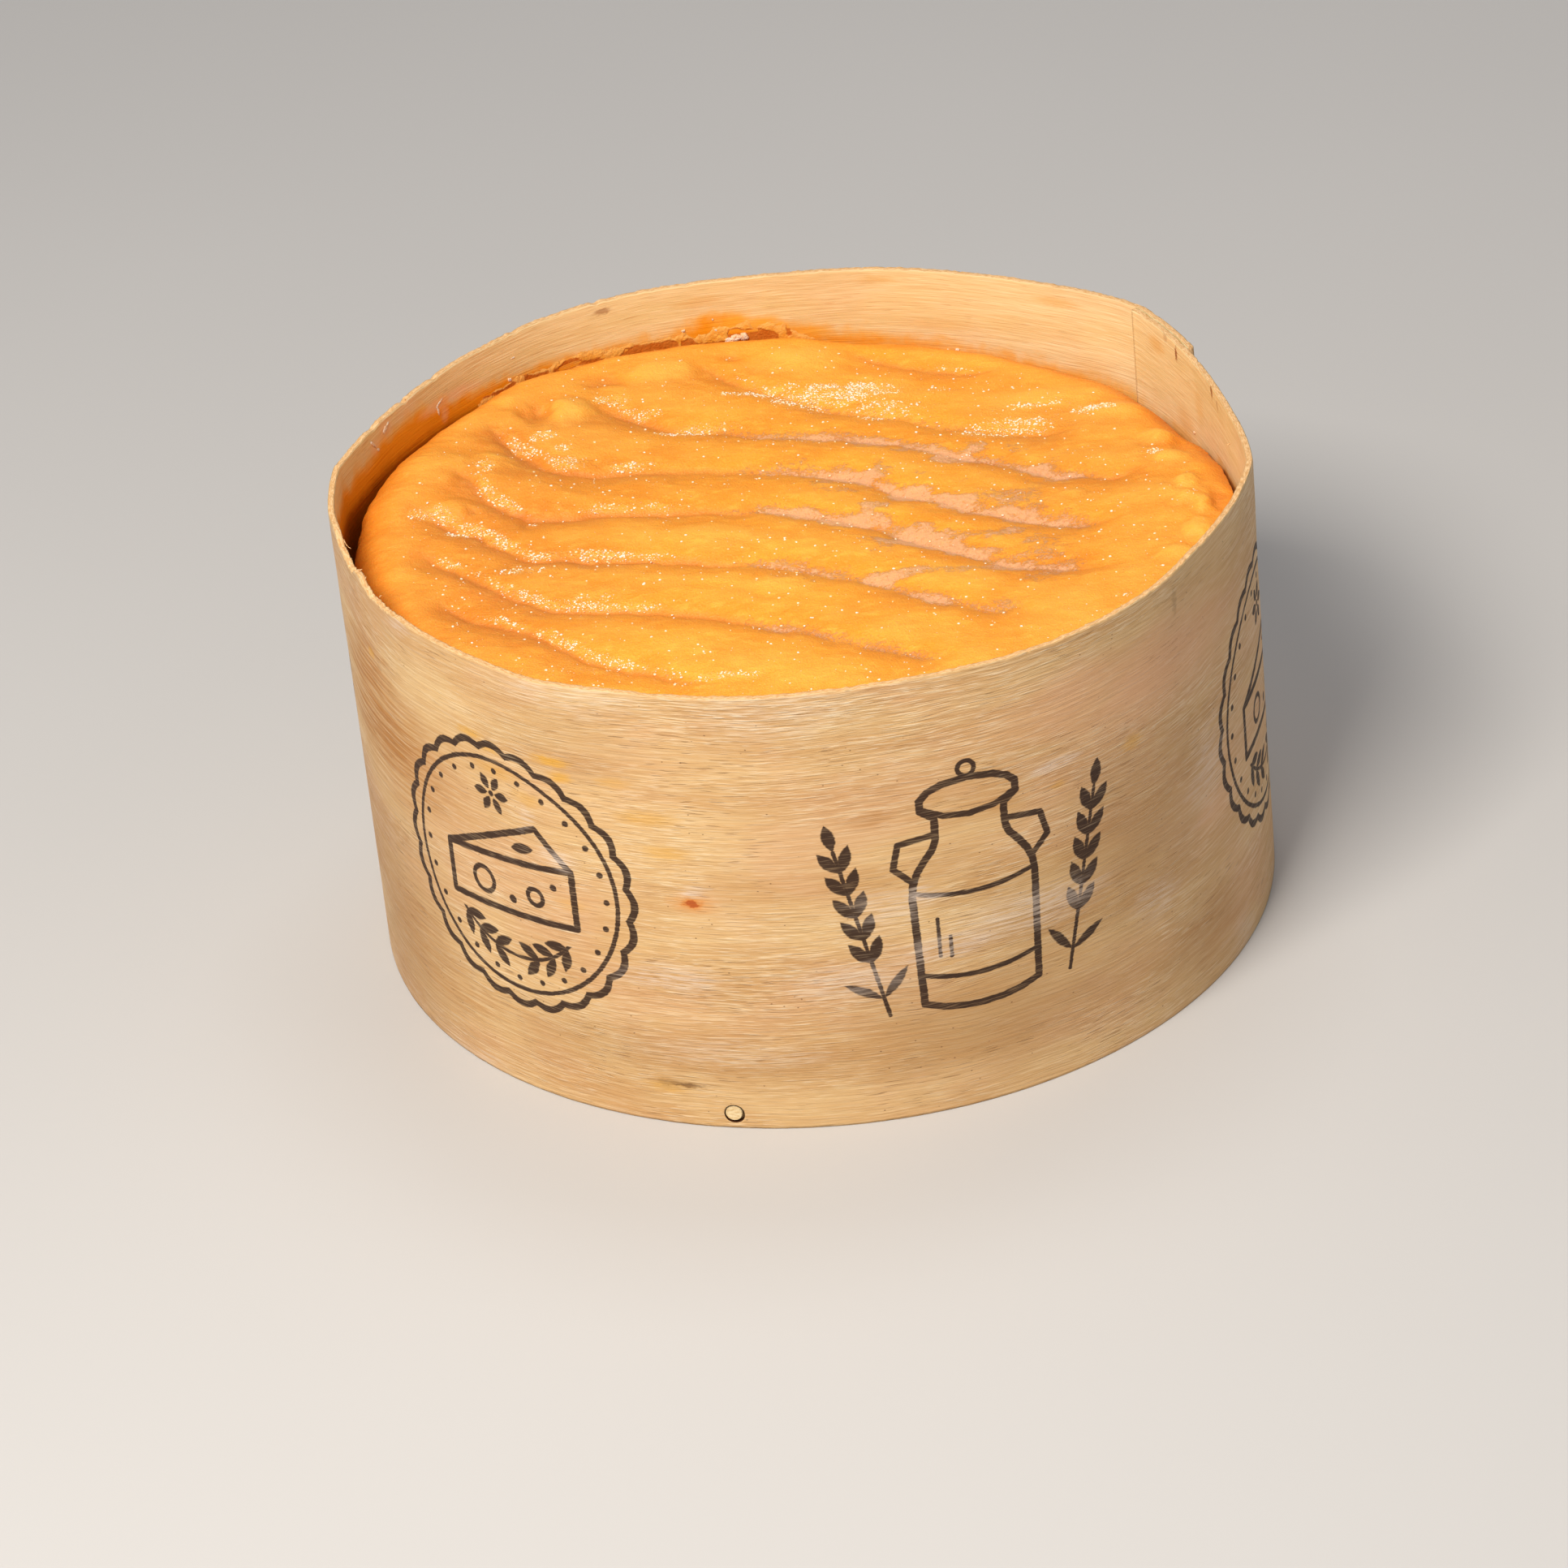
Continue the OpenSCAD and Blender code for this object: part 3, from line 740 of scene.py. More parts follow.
def veneer_outside():
    g = Graph("veneer_outside", Specular_IOR_Level=0.36)
    raw = g.attr("strip", "Vector")
    p, broad, cloud, fibre, long_fibre, thread, stretched = wood_bits(g, raw)
    hair = g.noise(stretched(2.2, 0.12, 21.0), 1.0, 1.0, 0.5)
    # Fibres stand out crisply in some places and lie flat in others. Their pale streaks are partly painted highlight
    # and their dark streaks partly painted shade under lifted fibres, most of all where they stand out.
    patchy = g.ramp(g.noise(stretched(17.0, 7.0, 51.0), 1.0, 2.0), 0.44, 0.62)
    shifted = g.v("ADD", raw, g.v("MULTIPLY", g.noise3(stretched(9.0, 3.0, 57.0), 1.0, 2.0, 0.5), (14.0, 7.0, 0.0)))
    raised_and_glinting = g.spots(shifted, on_strip([(966, 878, 26.0, 4.0, 1.0), (1170, 890, 15.0, 5.0, 0.8), (990, 1215, 20.0, 6.0, 0.8), (720, 870, 10.0, 3.0, 0.6), (870, 1295, 20.0, 3.0, 0.7)])
                     + round_back([(110, 20, 16, 8, 0.8), (170, 44, 18, 6, 0.7), (-140, 20, 16, 8, 0.7), (-105, 46, 10, 6, 0.6)]), 0.85)
    crisp_and_glinting = g.m("MAXIMUM", g.m("MULTIPLY", patchy, 0.55), raised_and_glinting)
    strong = g.m("ADD", 0.30, g.m("MULTIPLY", crisp_and_glinting, 0.70))
    col = g.mix(g.ramp(broad, 0.36, 0.66), lin("DEB67F"), lin("D0A26A"))
    col = g.mix(g.m("MULTIPLY", g.ramp(cloud, 0.44, 0.66), 0.50), col, lin("DAA87C"))
    col = g.mix(g.m("MULTIPLY", g.ramp(cloud, 0.46, 0.30), 0.35), col, lin("E6C48C"))
    col = g.mix(g.m("MULTIPLY", g.ramp(long_fibre, 0.50, 0.68), 0.18), col, lin("BC8A54"))
    col = g.mix(g.m("MULTIPLY", g.ramp(long_fibre, 0.48, 0.34), 0.17), col, lin("EFD2A0"))
    # Fibre and hair streaks: grain tone, partly painted highlight (pale ones) and painted shade (dark ones).
    col = g.mix(g.m("MULTIPLY", g.ramp(fibre, 0.53, 0.68), g.m("MULTIPLY", strong, 0.50)), col, lin("FAE4BC"))
    col = g.mix(g.m("MULTIPLY", g.ramp(fibre, 0.46, 0.32), g.m("MULTIPLY", strong, 0.34)), col, lin("AC7A46"))
    col = g.mix(g.m("MULTIPLY", g.ramp(hair, 0.58, 0.70), g.m("MULTIPLY", strong, 0.48)), col, lin("FFF2D6"))
    col = g.mix(g.m("MULTIPLY", g.ramp(hair, 0.41, 0.30), g.m("MULTIPLY", strong, 0.30)), col, lin("946638"))
    # Painted shade, with some change of tone: darker patches, most of them low on the right, where less light reaches
    # the wall.
    shade_and_tone_patches = g.spots(shifted, on_strip([(1400, 1040, 11.0, 11.0, 0.55), (1215, 1250, 15.0, 7.0, 0.60), (1480, 1160, 8.0, 8.0, 0.35), (1300, 1130, 9.0, 8.0, 0.35), (500, 1130, 12.0, 15.0, 0.62), (760, 1290, 16.0, 4.0, 0.30), (690, 915, 9.0, 4.0, 0.30), (1200, 1260, 9.0, 4.0, 0.45), (1010, 1315, 18.0, 3.0, 0.30)])
                    + round_back([(150, 20, 20, 12, 0.3), (-160, 16, 20, 10, 0.3)]), 0.9)
    col = g.mix(shade_and_tone_patches, col, lin("B08453"))
    # Short open pores.
    pore = g.noise(stretched(2.4, 0.20, 31.0), 1.0, 0.0)
    sparse = g.noise(stretched(13.0, 8.0, 37.0), 1.0, 1.0)
    pores = g.m("MULTIPLY", g.ramp(pore, 0.68, 0.80), g.ramp(sparse, 0.42, 0.62))
    col = g.mix(g.m("MULTIPLY", pores, 0.38), col, lin("8F5C2E"))
    specks = g.voronoi(g.v("MULTIPLY", p, (0.42, 0.62, 1.0)), 1.0)
    col = g.mix(g.m("MULTIPLY", g.ramp(specks, 0.07, 0.03), 0.70), col, lin("6A3F20"))
    # Marks of handling, with edges that run along the fibres.
    loose = g.v("ADD", raw, g.v("MULTIPLY", g.noise3(stretched(6.0, 1.6, 61.0), 1.0, 3.0, 0.6), (7.0, 2.6, 0.0)))
    tight = g.v("ADD", raw, g.v("MULTIPLY", g.noise3(stretched(0.9, 0.5, 63.0), 1.0, 2.0, 0.6), (1.6, 0.9, 0.0)))
    streaky = g.m("ADD", g.m("MULTIPLY", g.ramp(long_fibre, 0.36, 0.62), 0.6), 0.4)
    grease = g.spots(loose, on_strip([
        (478, 902, 12.0, 6.0, 0.90), (452, 850, 9.0, 9.0, 0.95), (500, 960, 9.0, 5.0, 0.45), (508, 930, 4.0, 2.2, 0.50), (452, 806, 2.6, 1.1, 0.80), (470, 822, 1.5, 0.9, 0.60),
        (520, 960, 7.0, 4.0, 0.30), (455, 1010, 9.0, 8.0, 0.40), (520, 1150, 12.0, 6.0, 0.35), (560, 1215, 12.0, 3.0, 0.40), (640, 1290, 14.0, 3.0, 0.25),
        (1070, 1012, 2.8, 0.9, 0.45), (1232, 988, 1.6, 1.0, 0.30), (1010, 1280, 14.0, 2.5, 0.22), (1190, 1230, 9.0, 2.0, 0.20), (1300, 1180, 6.0, 3.0, 0.18),
        (1500, 1130, 5.0, 6.0, 0.22), (1060, 830, 10.0, 2.0, 0.18)])
        + round_back([(92, 36, 9, 5, 0.35), (140, 20, 10, 6, 0.3), (-150, 34, 9, 8, 0.35), (-118, 14, 14, 5, 0.3), (178, 48, 12, 3, 0.3)]), 0.7)
    col = g.mix(g.m("MULTIPLY", grease, streaky), col, lin("B4762E"))
    yellow = g.spots(tight, on_strip([
        (578, 902, 1.9, 0.6, 0.60), (601, 922, 1.6, 0.5, 0.50), (677, 938, 2.2, 0.6, 0.75), (689, 958, 1.4, 0.7, 0.70), (612, 950, 3.2, 0.9, 0.40),
        (648, 985, 2.0, 0.8, 0.40), (795, 1009, 3.2, 0.9, 0.45), (820, 1052, 2.6, 0.9, 0.45), (755, 965, 2.0, 0.6, 0.30), (1395, 914, 1.4, 0.9, 0.45),
        (1303, 967, 0.9, 0.5, 0.35), (823, 1338, 2.4, 0.8, 0.40), (452, 806, 1.0, 0.6, 0.60), (704, 1115, 2.0, 0.8, 0.25)])
        + round_back([(128, 44, 2.5, 1.2, 0.4), (-168, 30, 3.0, 1.0, 0.4), (-120, 42, 2.0, 1.0, 0.5)]), 0.7)
    col = g.mix(yellow, col, lin("DFA32E"))
    # Painted light: a pinkish, paler sheen high on the right side of the band.
    painted_rosy_sheen = g.spots(loose, on_strip([(1440, 815, 13.0, 5.0, 0.60), (1500, 990, 4.0, 2.0, 0.30), (1330, 860, 12.0, 4.0, 0.40)]) + round_back([(112, 26, 6, 3, 0.3)]), 0.7)
    col = g.mix(painted_rosy_sheen, col, lin("EAB286"))
    rust = g.spots(tight, on_strip([(853, 1114, 1.15, 0.70, 1.0)]) + round_back([(155, 38, 0.8, 0.5, 0.8)]), 0.55)
    halo = g.spots(tight, on_strip([(853, 1114, 2.6, 1.2, 0.5)]), 0.6)
    col = g.mix(halo, col, lin("E39A50"))
    col = g.mix(g.m("MULTIPLY", rust, 0.9), col, lin("D6802E"))
    col = g.mix(g.m("MULTIPLY", g.ramp(rust, 0.70, 1.0), 0.8), col, lin("B0480C"))
    knots = g.spots(tight, on_strip([(847, 1337, 2.0, 0.32, 0.85), (826, 1334, 1.6, 0.5, 0.4), (1447, 742, 0.5, 1.6, 0.3)])
                    + round_back([(-155, 22, 2.2, 0.5, 0.7), (-98, 40, 1.0, 0.5, 0.8), (150, 49, 2.6, 0.6, 0.6)]), 0.6)
    col = g.mix(knots, col, lin("7A5226"))
    # Printed lines sink between the fibres, which break them here and there.
    wobble = g.noise(stretched(1.1, 0.30, 41.0), 1.0, 2.0)
    d = g.m("ADD", print_distance(g, raw), g.m("MULTIPLY", g.m("SUBTRACT", wobble, 0.5), 0.24))
    ink = g.ramp(d, 0.08, -0.08)
    bare = g.m("MAXIMUM", g.m("MULTIPLY", g.ramp(fibre, 0.58, 0.72), 0.8), g.m("MULTIPLY", g.ramp(hair, 0.58, 0.72), 0.7))
    ink = g.m("MULTIPLY", ink, g.m("SUBTRACT", 0.97, g.m("MULTIPLY", bare, 0.26)))
    col = g.mix(ink, col, lin("30190C"))
    # Pale rubbed places lie over wood and print alike.
    rub = g.spots(loose, on_strip([
        (685, 1060, 2.6, 0.9, 0.60), (647, 1008, 0.8, 2.0, 0.35), (852, 1100, 1.8, 0.7, 0.60), (828, 1206, 5.5, 1.7, 0.50), (1050, 1208, 6.0, 2.0, 0.40),
        (1138, 1102, 2.0, 1.4, 0.65), (1175, 1165, 6.0, 1.6, 0.50), (1275, 1120, 9.0, 2.4, 0.45), (1092, 1120, 3.6, 2.4, 0.35), (1303, 941, 2.6, 0.8, 0.60),
        (1488, 945, 3.6, 5.0, 0.38), (1424, 1110, 3.0, 2.4, 0.35), (485, 768, 2.0, 1.0, 0.55), (950, 880, 9.0, 3.0, 0.25), (700, 860, 8.0, 2.0, 0.30),
        (1535, 1150, 3.0, 3.0, 0.30), (900, 1300, 10.0, 1.6, 0.22), (560, 1290, 8.0, 1.4, 0.25)])
        + round_back([(100, 50, 5, 3, 0.4), (160, 14, 8, 2, 0.4), (-165, 45, 9, 3, 0.4), (-130, 28, 6, 3, 0.35)]), 0.75)
    rub = g.m("MULTIPLY", rub, g.ramp(g.m("ADD", g.m("MULTIPLY", fibre, 0.7), g.m("MULTIPLY", wobble, 0.3)), 0.36, 0.60))
    col = g.mix(rub, col, lin("E7D3C2"))
    g.set("Base Color", col)
    rough = g.m("SUBTRACT", 0.56, g.m("MULTIPLY", g.ramp(fibre, 0.45, 0.72), 0.16))
    rough = g.m("ADD", rough, g.m("MULTIPLY", ink, 0.14))
    g.set("Roughness", rough)
    height = g.m("MULTIPLY", g.m("ADD", g.m("MULTIPLY", fibre, 0.70), g.m("MULTIPLY", hair, 0.55)), strong)
    height = g.m("ADD", height, g.m("MULTIPLY", long_fibre, 0.55))
    height = g.m("SUBTRACT", height, g.m("MULTIPLY", pores, 0.4))
    g.set("Normal", g.bump(height, 0.00018, 0.85))
    return g.mat


def veneer_inside():
    g = Graph("veneer_inside", Roughness=0.55, Specular_IOR_Level=0.4)
    raw = g.attr("strip", "Vector")
    p, broad, cloud, fibre, long_fibre, thread, stretched = wood_bits(g, g.v("ADD", raw, (7.0, 13.0, 0.0)))
    _, height_z, depth = g.xyz(raw)
    col = g.mix(g.ramp(broad, 0.36, 0.66), lin("E8D09C"), lin("DEC48A"))
    col = g.mix(g.m("MULTIPLY", g.ramp(cloud, 0.50, 0.70), 0.45), col, lin("E0C296"))
    col = g.mix(g.m("MULTIPLY", g.ramp(long_fibre, 0.50, 0.70), 0.20), col, lin("CDA468"))
    col = g.mix(g.m("MULTIPLY", g.ramp(long_fibre, 0.47, 0.34), 0.16), col, lin("F3E2B8"))
    col = g.mix(g.m("MULTIPLY", g.ramp(fibre, 0.54, 0.72), 0.30), col, lin("FBEAC4"))
    col = g.mix(g.m("MULTIPLY", g.ramp(fibre, 0.45, 0.30), 0.24), col, lin("C29A62"))
    pore = g.noise(stretched(2.8, 0.22, 31.0), 1.0, 0.0)
    pores = g.ramp(pore, 0.72, 0.82)
    col = g.mix(g.m("MULTIPLY", pores, 0.32), col, lin("AE7A42"))
    # Grease that has soaked in from the cheese, then painted shade low in the gap behind it.
    soak = g.attr("grease")
    edge = g.noise(g.v("MULTIPLY", raw, (0.55, 0.75, 0.0)), 1.0, 3.0, 0.6)
    soaked = g.ramp(g.m("ADD", soak, g.m("MULTIPLY", g.m("SUBTRACT", edge, 0.5), 0.55)), 0.10, 0.62)
    soaked = g.m("MULTIPLY", soaked, g.ramp(soak, 0.0, 0.10))
    col = g.mix(g.m("MULTIPLY", soaked, 0.74), col, lin("E8AA40"))
    deep = g.ramp(g.m("ADD", soak, g.m("MULTIPLY", g.m("SUBTRACT", edge, 0.5), 0.5)), 0.42, 0.90)
    col = g.mix(g.m("MULTIPLY", deep, 0.94), col, lin("EA9408"))
    # Painted shade in the gap between cheese and wall.
    gap_shade = g.attr("gap_shade")
    gap_shaded = g.ramp(g.m("ADD", gap_shade, g.m("MULTIPLY", g.m("SUBTRACT", edge, 0.5), 0.4)), 0.2, 0.85)
    col = g.mix(g.m("MULTIPLY", gap_shaded, 0.78), col, lin("A44A02"))
    tight = g.v("ADD", raw, g.v("MULTIPLY", g.noise3(stretched(0.9, 0.5, 63.0), 1.0, 2.0, 0.6), (1.0, 0.9, 0.0)))
    marks = g.spots(tight, on_strip([(1449, 436, 0.35, 0.95, 0.9), (1493, 483, 0.35, 0.95, 0.85), (1441, 405, 0.5, 1.2, 0.3), (741, 384, 1.2, 0.4, 0.6), (1500, 500, 0.3, 0.7, 0.5)], True)
                    + [(400.0, 40.0, 3.0, 0.6, 0.5), (300.0, 30.0, 2.2, 0.5, 0.5), (130.0, 34.0, 2.0, 0.5, 0.5)], 0.5)
    col = g.mix(marks, col, lin("8A4A1C"))
    stain = g.spots(tight, on_strip([(1425, 425, 1.8, 1.0, 0.55), (1300, 372, 3.0, 0.7, 0.45), (1345, 455, 3.6, 1.6, 0.30), (1080, 345, 2.4, 0.6, 0.35), (1150, 400, 5.0, 0.7, 0.25), (860, 372, 3.0, 0.7, 0.35), (1462, 520, 2.4, 1.6, 0.40), (1478, 505, 1.4, 2.4, 0.30)], True), 0.7)
    col = g.mix(stain, col, lin("D8A452"))
    smudge = g.spots(tight, on_strip([(905, 398, 1.9, 0.9, 0.85), (938, 398, 2.0, 0.9, 0.85), (962, 402, 1.0, 0.9, 0.80), (884, 402, 0.9, 0.6, 0.6), (1000, 408, 2.4, 0.6, 0.6)], True), 0.8)
    col = g.mix(smudge, col, lin("EEAC38"))
    smear = g.spots(tight, on_strip([(462, 550, 1.1, 1.0, 0.50), (475, 527, 1.6, 1.2, 0.55), (538, 499, 3.2, 0.8, 0.60), (563, 484, 3.0, 0.8, 0.60), (579, 478, 2.0, 0.6, 0.45), (548, 508, 0.7, 1.1, 0.50), (500, 505, 2.6, 1.2, 0.30)], True), 0.7)
    col = g.mix(smear, col, lin("EDBE92"))
    # The cut edge at the rim is paler and shows open fibre ends.
    cut = g.m("MULTIPLY", g.ramp(depth, 0.02, 0.07), g.ramp(depth, 0.79, 0.73))
    ends = g.noise(g.v("MULTIPLY", raw, (1.4, 1.4, 5.0)), 1.0, 3.0, 0.6)
    cut_col = g.mix(g.ramp(ends, 0.35, 0.68), lin("CE9C62"), lin("EBC390"))
    col = g.mix(cut, col, cut_col)
    # Painted shade: dark brown on the walls inside the peg holes.
    bore_shade = g.attr("hole")
    col = g.mix(bore_shade, col, lin("4A2812"))
    g.set("Base Color", col)
    g.set("Roughness", g.m("SUBTRACT", 0.64, g.m("MULTIPLY", soaked, 0.26)))
    height = g.m("ADD", g.m("MULTIPLY", fibre, 0.6), g.m("MULTIPLY", long_fibre, 0.6))
    height = g.m("ADD", height, g.m("MULTIPLY", g.m("MULTIPLY", ends, cut), 0.9))
    g.set("Normal", g.bump(height, 0.00010, 0.85))
    return g.mat


def board_wood():
    g = Graph("board_wood", Roughness=0.62, Specular_IOR_Level=0.35)
    p = g.v("SCALE", g.object(), scale=1000.0)
    x, y, z = g.xyz(p)
    bend = g.noise(g.v("MULTIPLY", p, (0.010, 0.03, 0.03)), 1.0, 2.0)
    rings = g.m("SINE", g.m("MULTIPLY", g.m("ADD", y, g.m("MULTIPLY", bend, 26.0)), 1.5))
    fibre = g.noise(g.v("MULTIPLY", p, (0.16, 2.4, 2.4)), 1.0, 3.0, 0.6)
    saw = g.m("SINE", g.m("MULTIPLY", g.m("ADD", x, g.m("MULTIPLY", bend, 3.0)), 2.6))
    col = g.mix(g.ramp(rings, -0.2, 1.0), lin("E2BC82"), lin("C9945A"))
    col = g.mix(g.m("MULTIPLY", g.ramp(fibre, 0.55, 0.8), 0.6), col, lin("A8733E"))
    col = g.mix(g.m("MULTIPLY", g.ramp(fibre, 0.42, 0.2), 0.4), col, lin("F3D9A6"))
    g.set("Base Color", col)
    g.set("Normal", g.bump(g.m("ADD", g.m("MULTIPLY", fibre, 0.8), g.m("MULTIPLY", saw, 0.10)), 0.0003, 0.8))
    return g.mat


def peg_wood():
    g = Graph("peg_wood", Roughness=0.5, Specular_IOR_Level=0.4)
    p = g.v("SCALE", g.object(), scale=1000.0)
    grain = g.noise(g.v("MULTIPLY", p, (1.4, 1.4, 3.4)), 1.0, 3.0, 0.6)
    pores = g.voronoi(p, 4.2)
    col = g.mix(g.ramp(grain, 0.3, 0.72), lin("F2DDB0"), lin("D9B57C"))
    col = g.mix(g.m("MULTIPLY", g.ramp(pores, 0.16, 0.05), 0.5), col, lin("9C7040"))
    g.set("Base Color", col)
    g.set("Normal", g.bump(grain, 0.0001, 0.6))
    return g.mat


def dried_glue():
    g = Graph("dried_glue", Roughness=0.35, Specular_IOR_Level=0.5)
    p = g.v("SCALE", g.object(), scale=1000.0)
    blot = g.noise(p, 0.35, 3.0)
    col = g.mix(g.ramp(blot, 0.35, 0.7), lin("E9D9A8"), lin("C9A868"))
    g.set("Base Color", col)
    g.set("Roughness", g.ramp(blot, 0.3, 0.7, 0.28, 0.5))
    g.set("Normal", g.bump(blot, 0.0001, 0.5))
    return g.mat


def soft_paste():
    g = Graph("soft_paste", Roughness=0.4, Subsurface_Weight=0.3, Subsurface_Scale=0.003)
    g.bsdf.inputs["Subsurface Radius"].default_value = (1.0, 0.6, 0.25)
    p = g.v("SCALE", g.object(), scale=1000.0)
    blot = g.noise(p, 0.12, 4.0)
    eyes = g.voronoi(p, 0.3)
    col = g.mix(g.ramp(blot, 0.35, 0.65), lin("F4DE9A"), lin("E9C878"))
    col = g.mix(g.m("MULTIPLY", g.ramp(eyes, 0.2, 0.1), 0.4), col, lin("D9B060"))
    g.set("Base Color", col)
    g.set("Normal", g.bump(blot, 0.0003, 0.6))
    return g.mat


def washed_rind(name="washed_rind", plain=False):
    g = Graph(name, Subsurface_Weight=0.22, Subsurface_Scale=0.0012, Specular_IOR_Level=0.5, IOR=1.4)
    g.bsdf.inputs["Subsurface Radius"].default_value = (1.0, 0.42, 0.12)
    p = g.v("SCALE", g.object(), scale=1000.0)
    broad = g.noise(g.v("MULTIPLY", p, (0.07, 0.16, 0.1)), 1.0, 3.0, 0.55)
    mottle = g.noise(g.v("MULTIPLY", p, (0.45, 0.8, 0.6)), 1.0, 4.0, 0.62)
    grain = g.noise(p, 3.6, 3.0, 0.65)
    cells = g.voronoi(p, 2.9)
    crest_light = g.attr("high")
    crease = g.attr("crease")
    fold_shade = g.attr("fold_shade")
    wet = g.attr("wet")
    bloom = g.attr("bloom")
    edge = g.attr("edge")
    col = g.mix(g.ramp(broad, 0.36, 0.66), lin("F8A22A"), lin("EE9420"))
    col = g.mix(g.m("MULTIPLY", g.ramp(mottle, 0.50, 0.70), 0.60), col, lin("FFB640"))
    col = g.mix(g.m("MULTIPLY", g.ramp(mottle, 0.46, 0.28), 0.50), col, lin("E88E1C"))
    col = g.mix(g.m("MULTIPLY", g.ramp(grain, 0.54, 0.74), 0.34), col, lin("FFCB70"))
    col = g.mix(g.m("MULTIPLY", g.ramp(grain, 0.44, 0.26), 0.24), col, lin("DC7E1C"))
    # Painted shade on the slopes that face away from the light, south of the folds and round the lumps.
    col = g.mix(g.m("MULTIPLY", fold_shade, 0.42), col, lin("CC7C34"))
    col = g.mix(g.m("MULTIPLY", edge, 0.55), col, lin("E07E1C"))
    # Painted shade from the walls.
    side_shade = g.attr("side_shade")
    col = g.mix(side_shade, col, g.v("MULTIPLY", col, (0.87, 0.79, 0.88)))
    # Painted light: paler yellow on crests and lumps that face the lamp.
    col = g.mix(g.m("MULTIPLY", crest_light, 0.66), col, lin("FFBA4C"))
    # Painted shade in the creases.
    col = g.mix(g.m("MULTIPLY", crease, 0.40), col, lin("BC682A"))
    # Dry, pinkish bloom, broken up into scales.
    scales = g.noise(g.v("MULTIPLY", p, (1.5, 2.2, 1.8)), 1.0, 5.0, 0.80, 1.2)
    veil = g.ramp(g.m("ADD", bloom, g.m("MULTIPLY", g.m("SUBTRACT", scales, 0.5), 2.8)), 0.46, 0.86)
    veil = g.m("MULTIPLY", veil, g.ramp(bloom, 0.02, 0.30))
    col = g.mix(g.m("MULTIPLY", veil, 0.66), col, lin("E2AE88"))
    # Painted highlights: pale glints in specks and streaks on the moist patches, over a paler yellow painted sheen.
    speck = g.voronoi(p, 3.1)
    some = g.noise(p, 0.9, 2.0)
    turned = g.vec(g.v("DOT_PRODUCT", p, (0.96, -0.28, 0.0)), g.v("DOT_PRODUCT", p, (0.28, 0.96, 0.0)), g.v("DOT_PRODUCT", p, (0.0, 0.0, 1.0)))
    streak = g.noise(g.v("MULTIPLY", turned, (1.5, 3.6, 3.0)), 1.0, 3.0, 0.65)
    wetter = g.ramp(g.m("ADD", g.m("MULTIPLY", wet, 0.75), g.m("SUBTRACT", some, 0.5)), 0.22, 0.55)
    coarse = g.voronoi(g.v("ADD", turned, (3.0, 7.0, 1.0)), 1.9)
    painted_glint = g.m("MAXIMUM", g.m("MULTIPLY", g.ramp(speck, 0.22, 0.11), wetter), g.m("MULTIPLY", g.ramp(coarse, 0.24, 0.12), g.m("MULTIPLY", g.ramp(streak, 0.46, 0.58), wetter)))
    painted_glint = g.m("MAXIMUM", painted_glint, g.m("MULTIPLY", g.ramp(streak, 0.64, 0.74), g.ramp(wet, 0.60, 1.00)))
    wet_sheen = g.m("MULTIPLY", g.ramp(wet, 0.25, 0.85), g.ramp(streak, 0.34, 0.60))
    col = g.mix(g.m("MULTIPLY", wet_sheen, 0.45), col, lin("FFC658"))
    col = g.mix(g.m("MULTIPLY", painted_glint, 0.86), col, lin("FFF2DC"))
    g.set("Base Color", col)
    rough = g.m("SUBTRACT", 0.46, g.m("MULTIPLY", wet, 0.22))
    rough = g.m("ADD", rough, g.m("MULTIPLY", veil, 0.30))
    g.set("Roughness", rough)
    height = g.m("ADD", g.m("MULTIPLY", grain, 0.40), g.m("MULTIPLY", mottle, 0.55))
    height = g.m("SUBTRACT", height, g.m("MULTIPLY", cells, g.m("ADD", 0.12, g.m("MULTIPLY", wet, 0.30))))
    height = g.m("ADD", height, g.m("MULTIPLY", g.m("MULTIPLY", scales, veil), 0.3))
    height = g.m("ADD", height, g.m("MULTIPLY", painted_glint, 0.40))
    g.set("Normal", g.bump(height, 0.00030, 0.95))
    return g.mat


def stuck_rind():
    g = Graph("stuck_rind", Specular_IOR_Level=0.4)
    p = g.v("SCALE", g.object(), scale=1000.0)
    mottle = g.noise(p, 0.9, 3.0, 0.6)
    grain = g.noise(p, 3.0, 3.0, 0.6)
    col = g.mix(g.ramp(mottle, 0.35, 0.65), lin("E8A034"), lin("F2B650"))
    col = g.mix(g.m("MULTIPLY", g.ramp(grain, 0.56, 0.76), 0.35), col, lin("FFCB74"))
    col = g.mix(g.attr("thin"), col, lin("E4AC58"))
    # Painted shade: darker orange in the torn gaps of the skin.
    col = g.mix(g.m("MULTIPLY", g.attr("gap"), g.ramp(mottle, 0.2, 0.7, 1.0, 0.85)), col, lin("C26402"))
    g.set("Base Color", col)
    g.set("Roughness", g.m("ADD", 0.40, g.m("MULTIPLY", g.m("MAXIMUM", g.attr("gap"), g.attr("thin")), 0.30)))
    g.set("Normal", g.bump(g.m("ADD", grain, mottle), 0.00018, 0.8))
    return g.mat


def dry_crumb():
    g = Graph("dry_crumb", Roughness=0.6, Specular_IOR_Level=0.3, Subsurface_Weight=0.25, Subsurface_Scale=0.0008)
    g.bsdf.inputs["Subsurface Radius"].default_value = (1.0, 0.8, 0.5)
    p = g.v("SCALE", g.object(), scale=1000.0)
    crumbly = g.noise(p, 2.2, 4.0, 0.65)
    col = g.mix(g.ramp(crumbly, 0.35, 0.62), lin("FFEBD2"), lin("F3C394"))
    col = g.mix(g.m("MULTIPLY", g.ramp(crumbly, 0.62, 0.75), 0.6), col, lin("DE8F48"))
    g.set("Base Color", col)
    g.set("Normal", g.bump(crumbly, 0.00025, 0.9))
    return g.mat


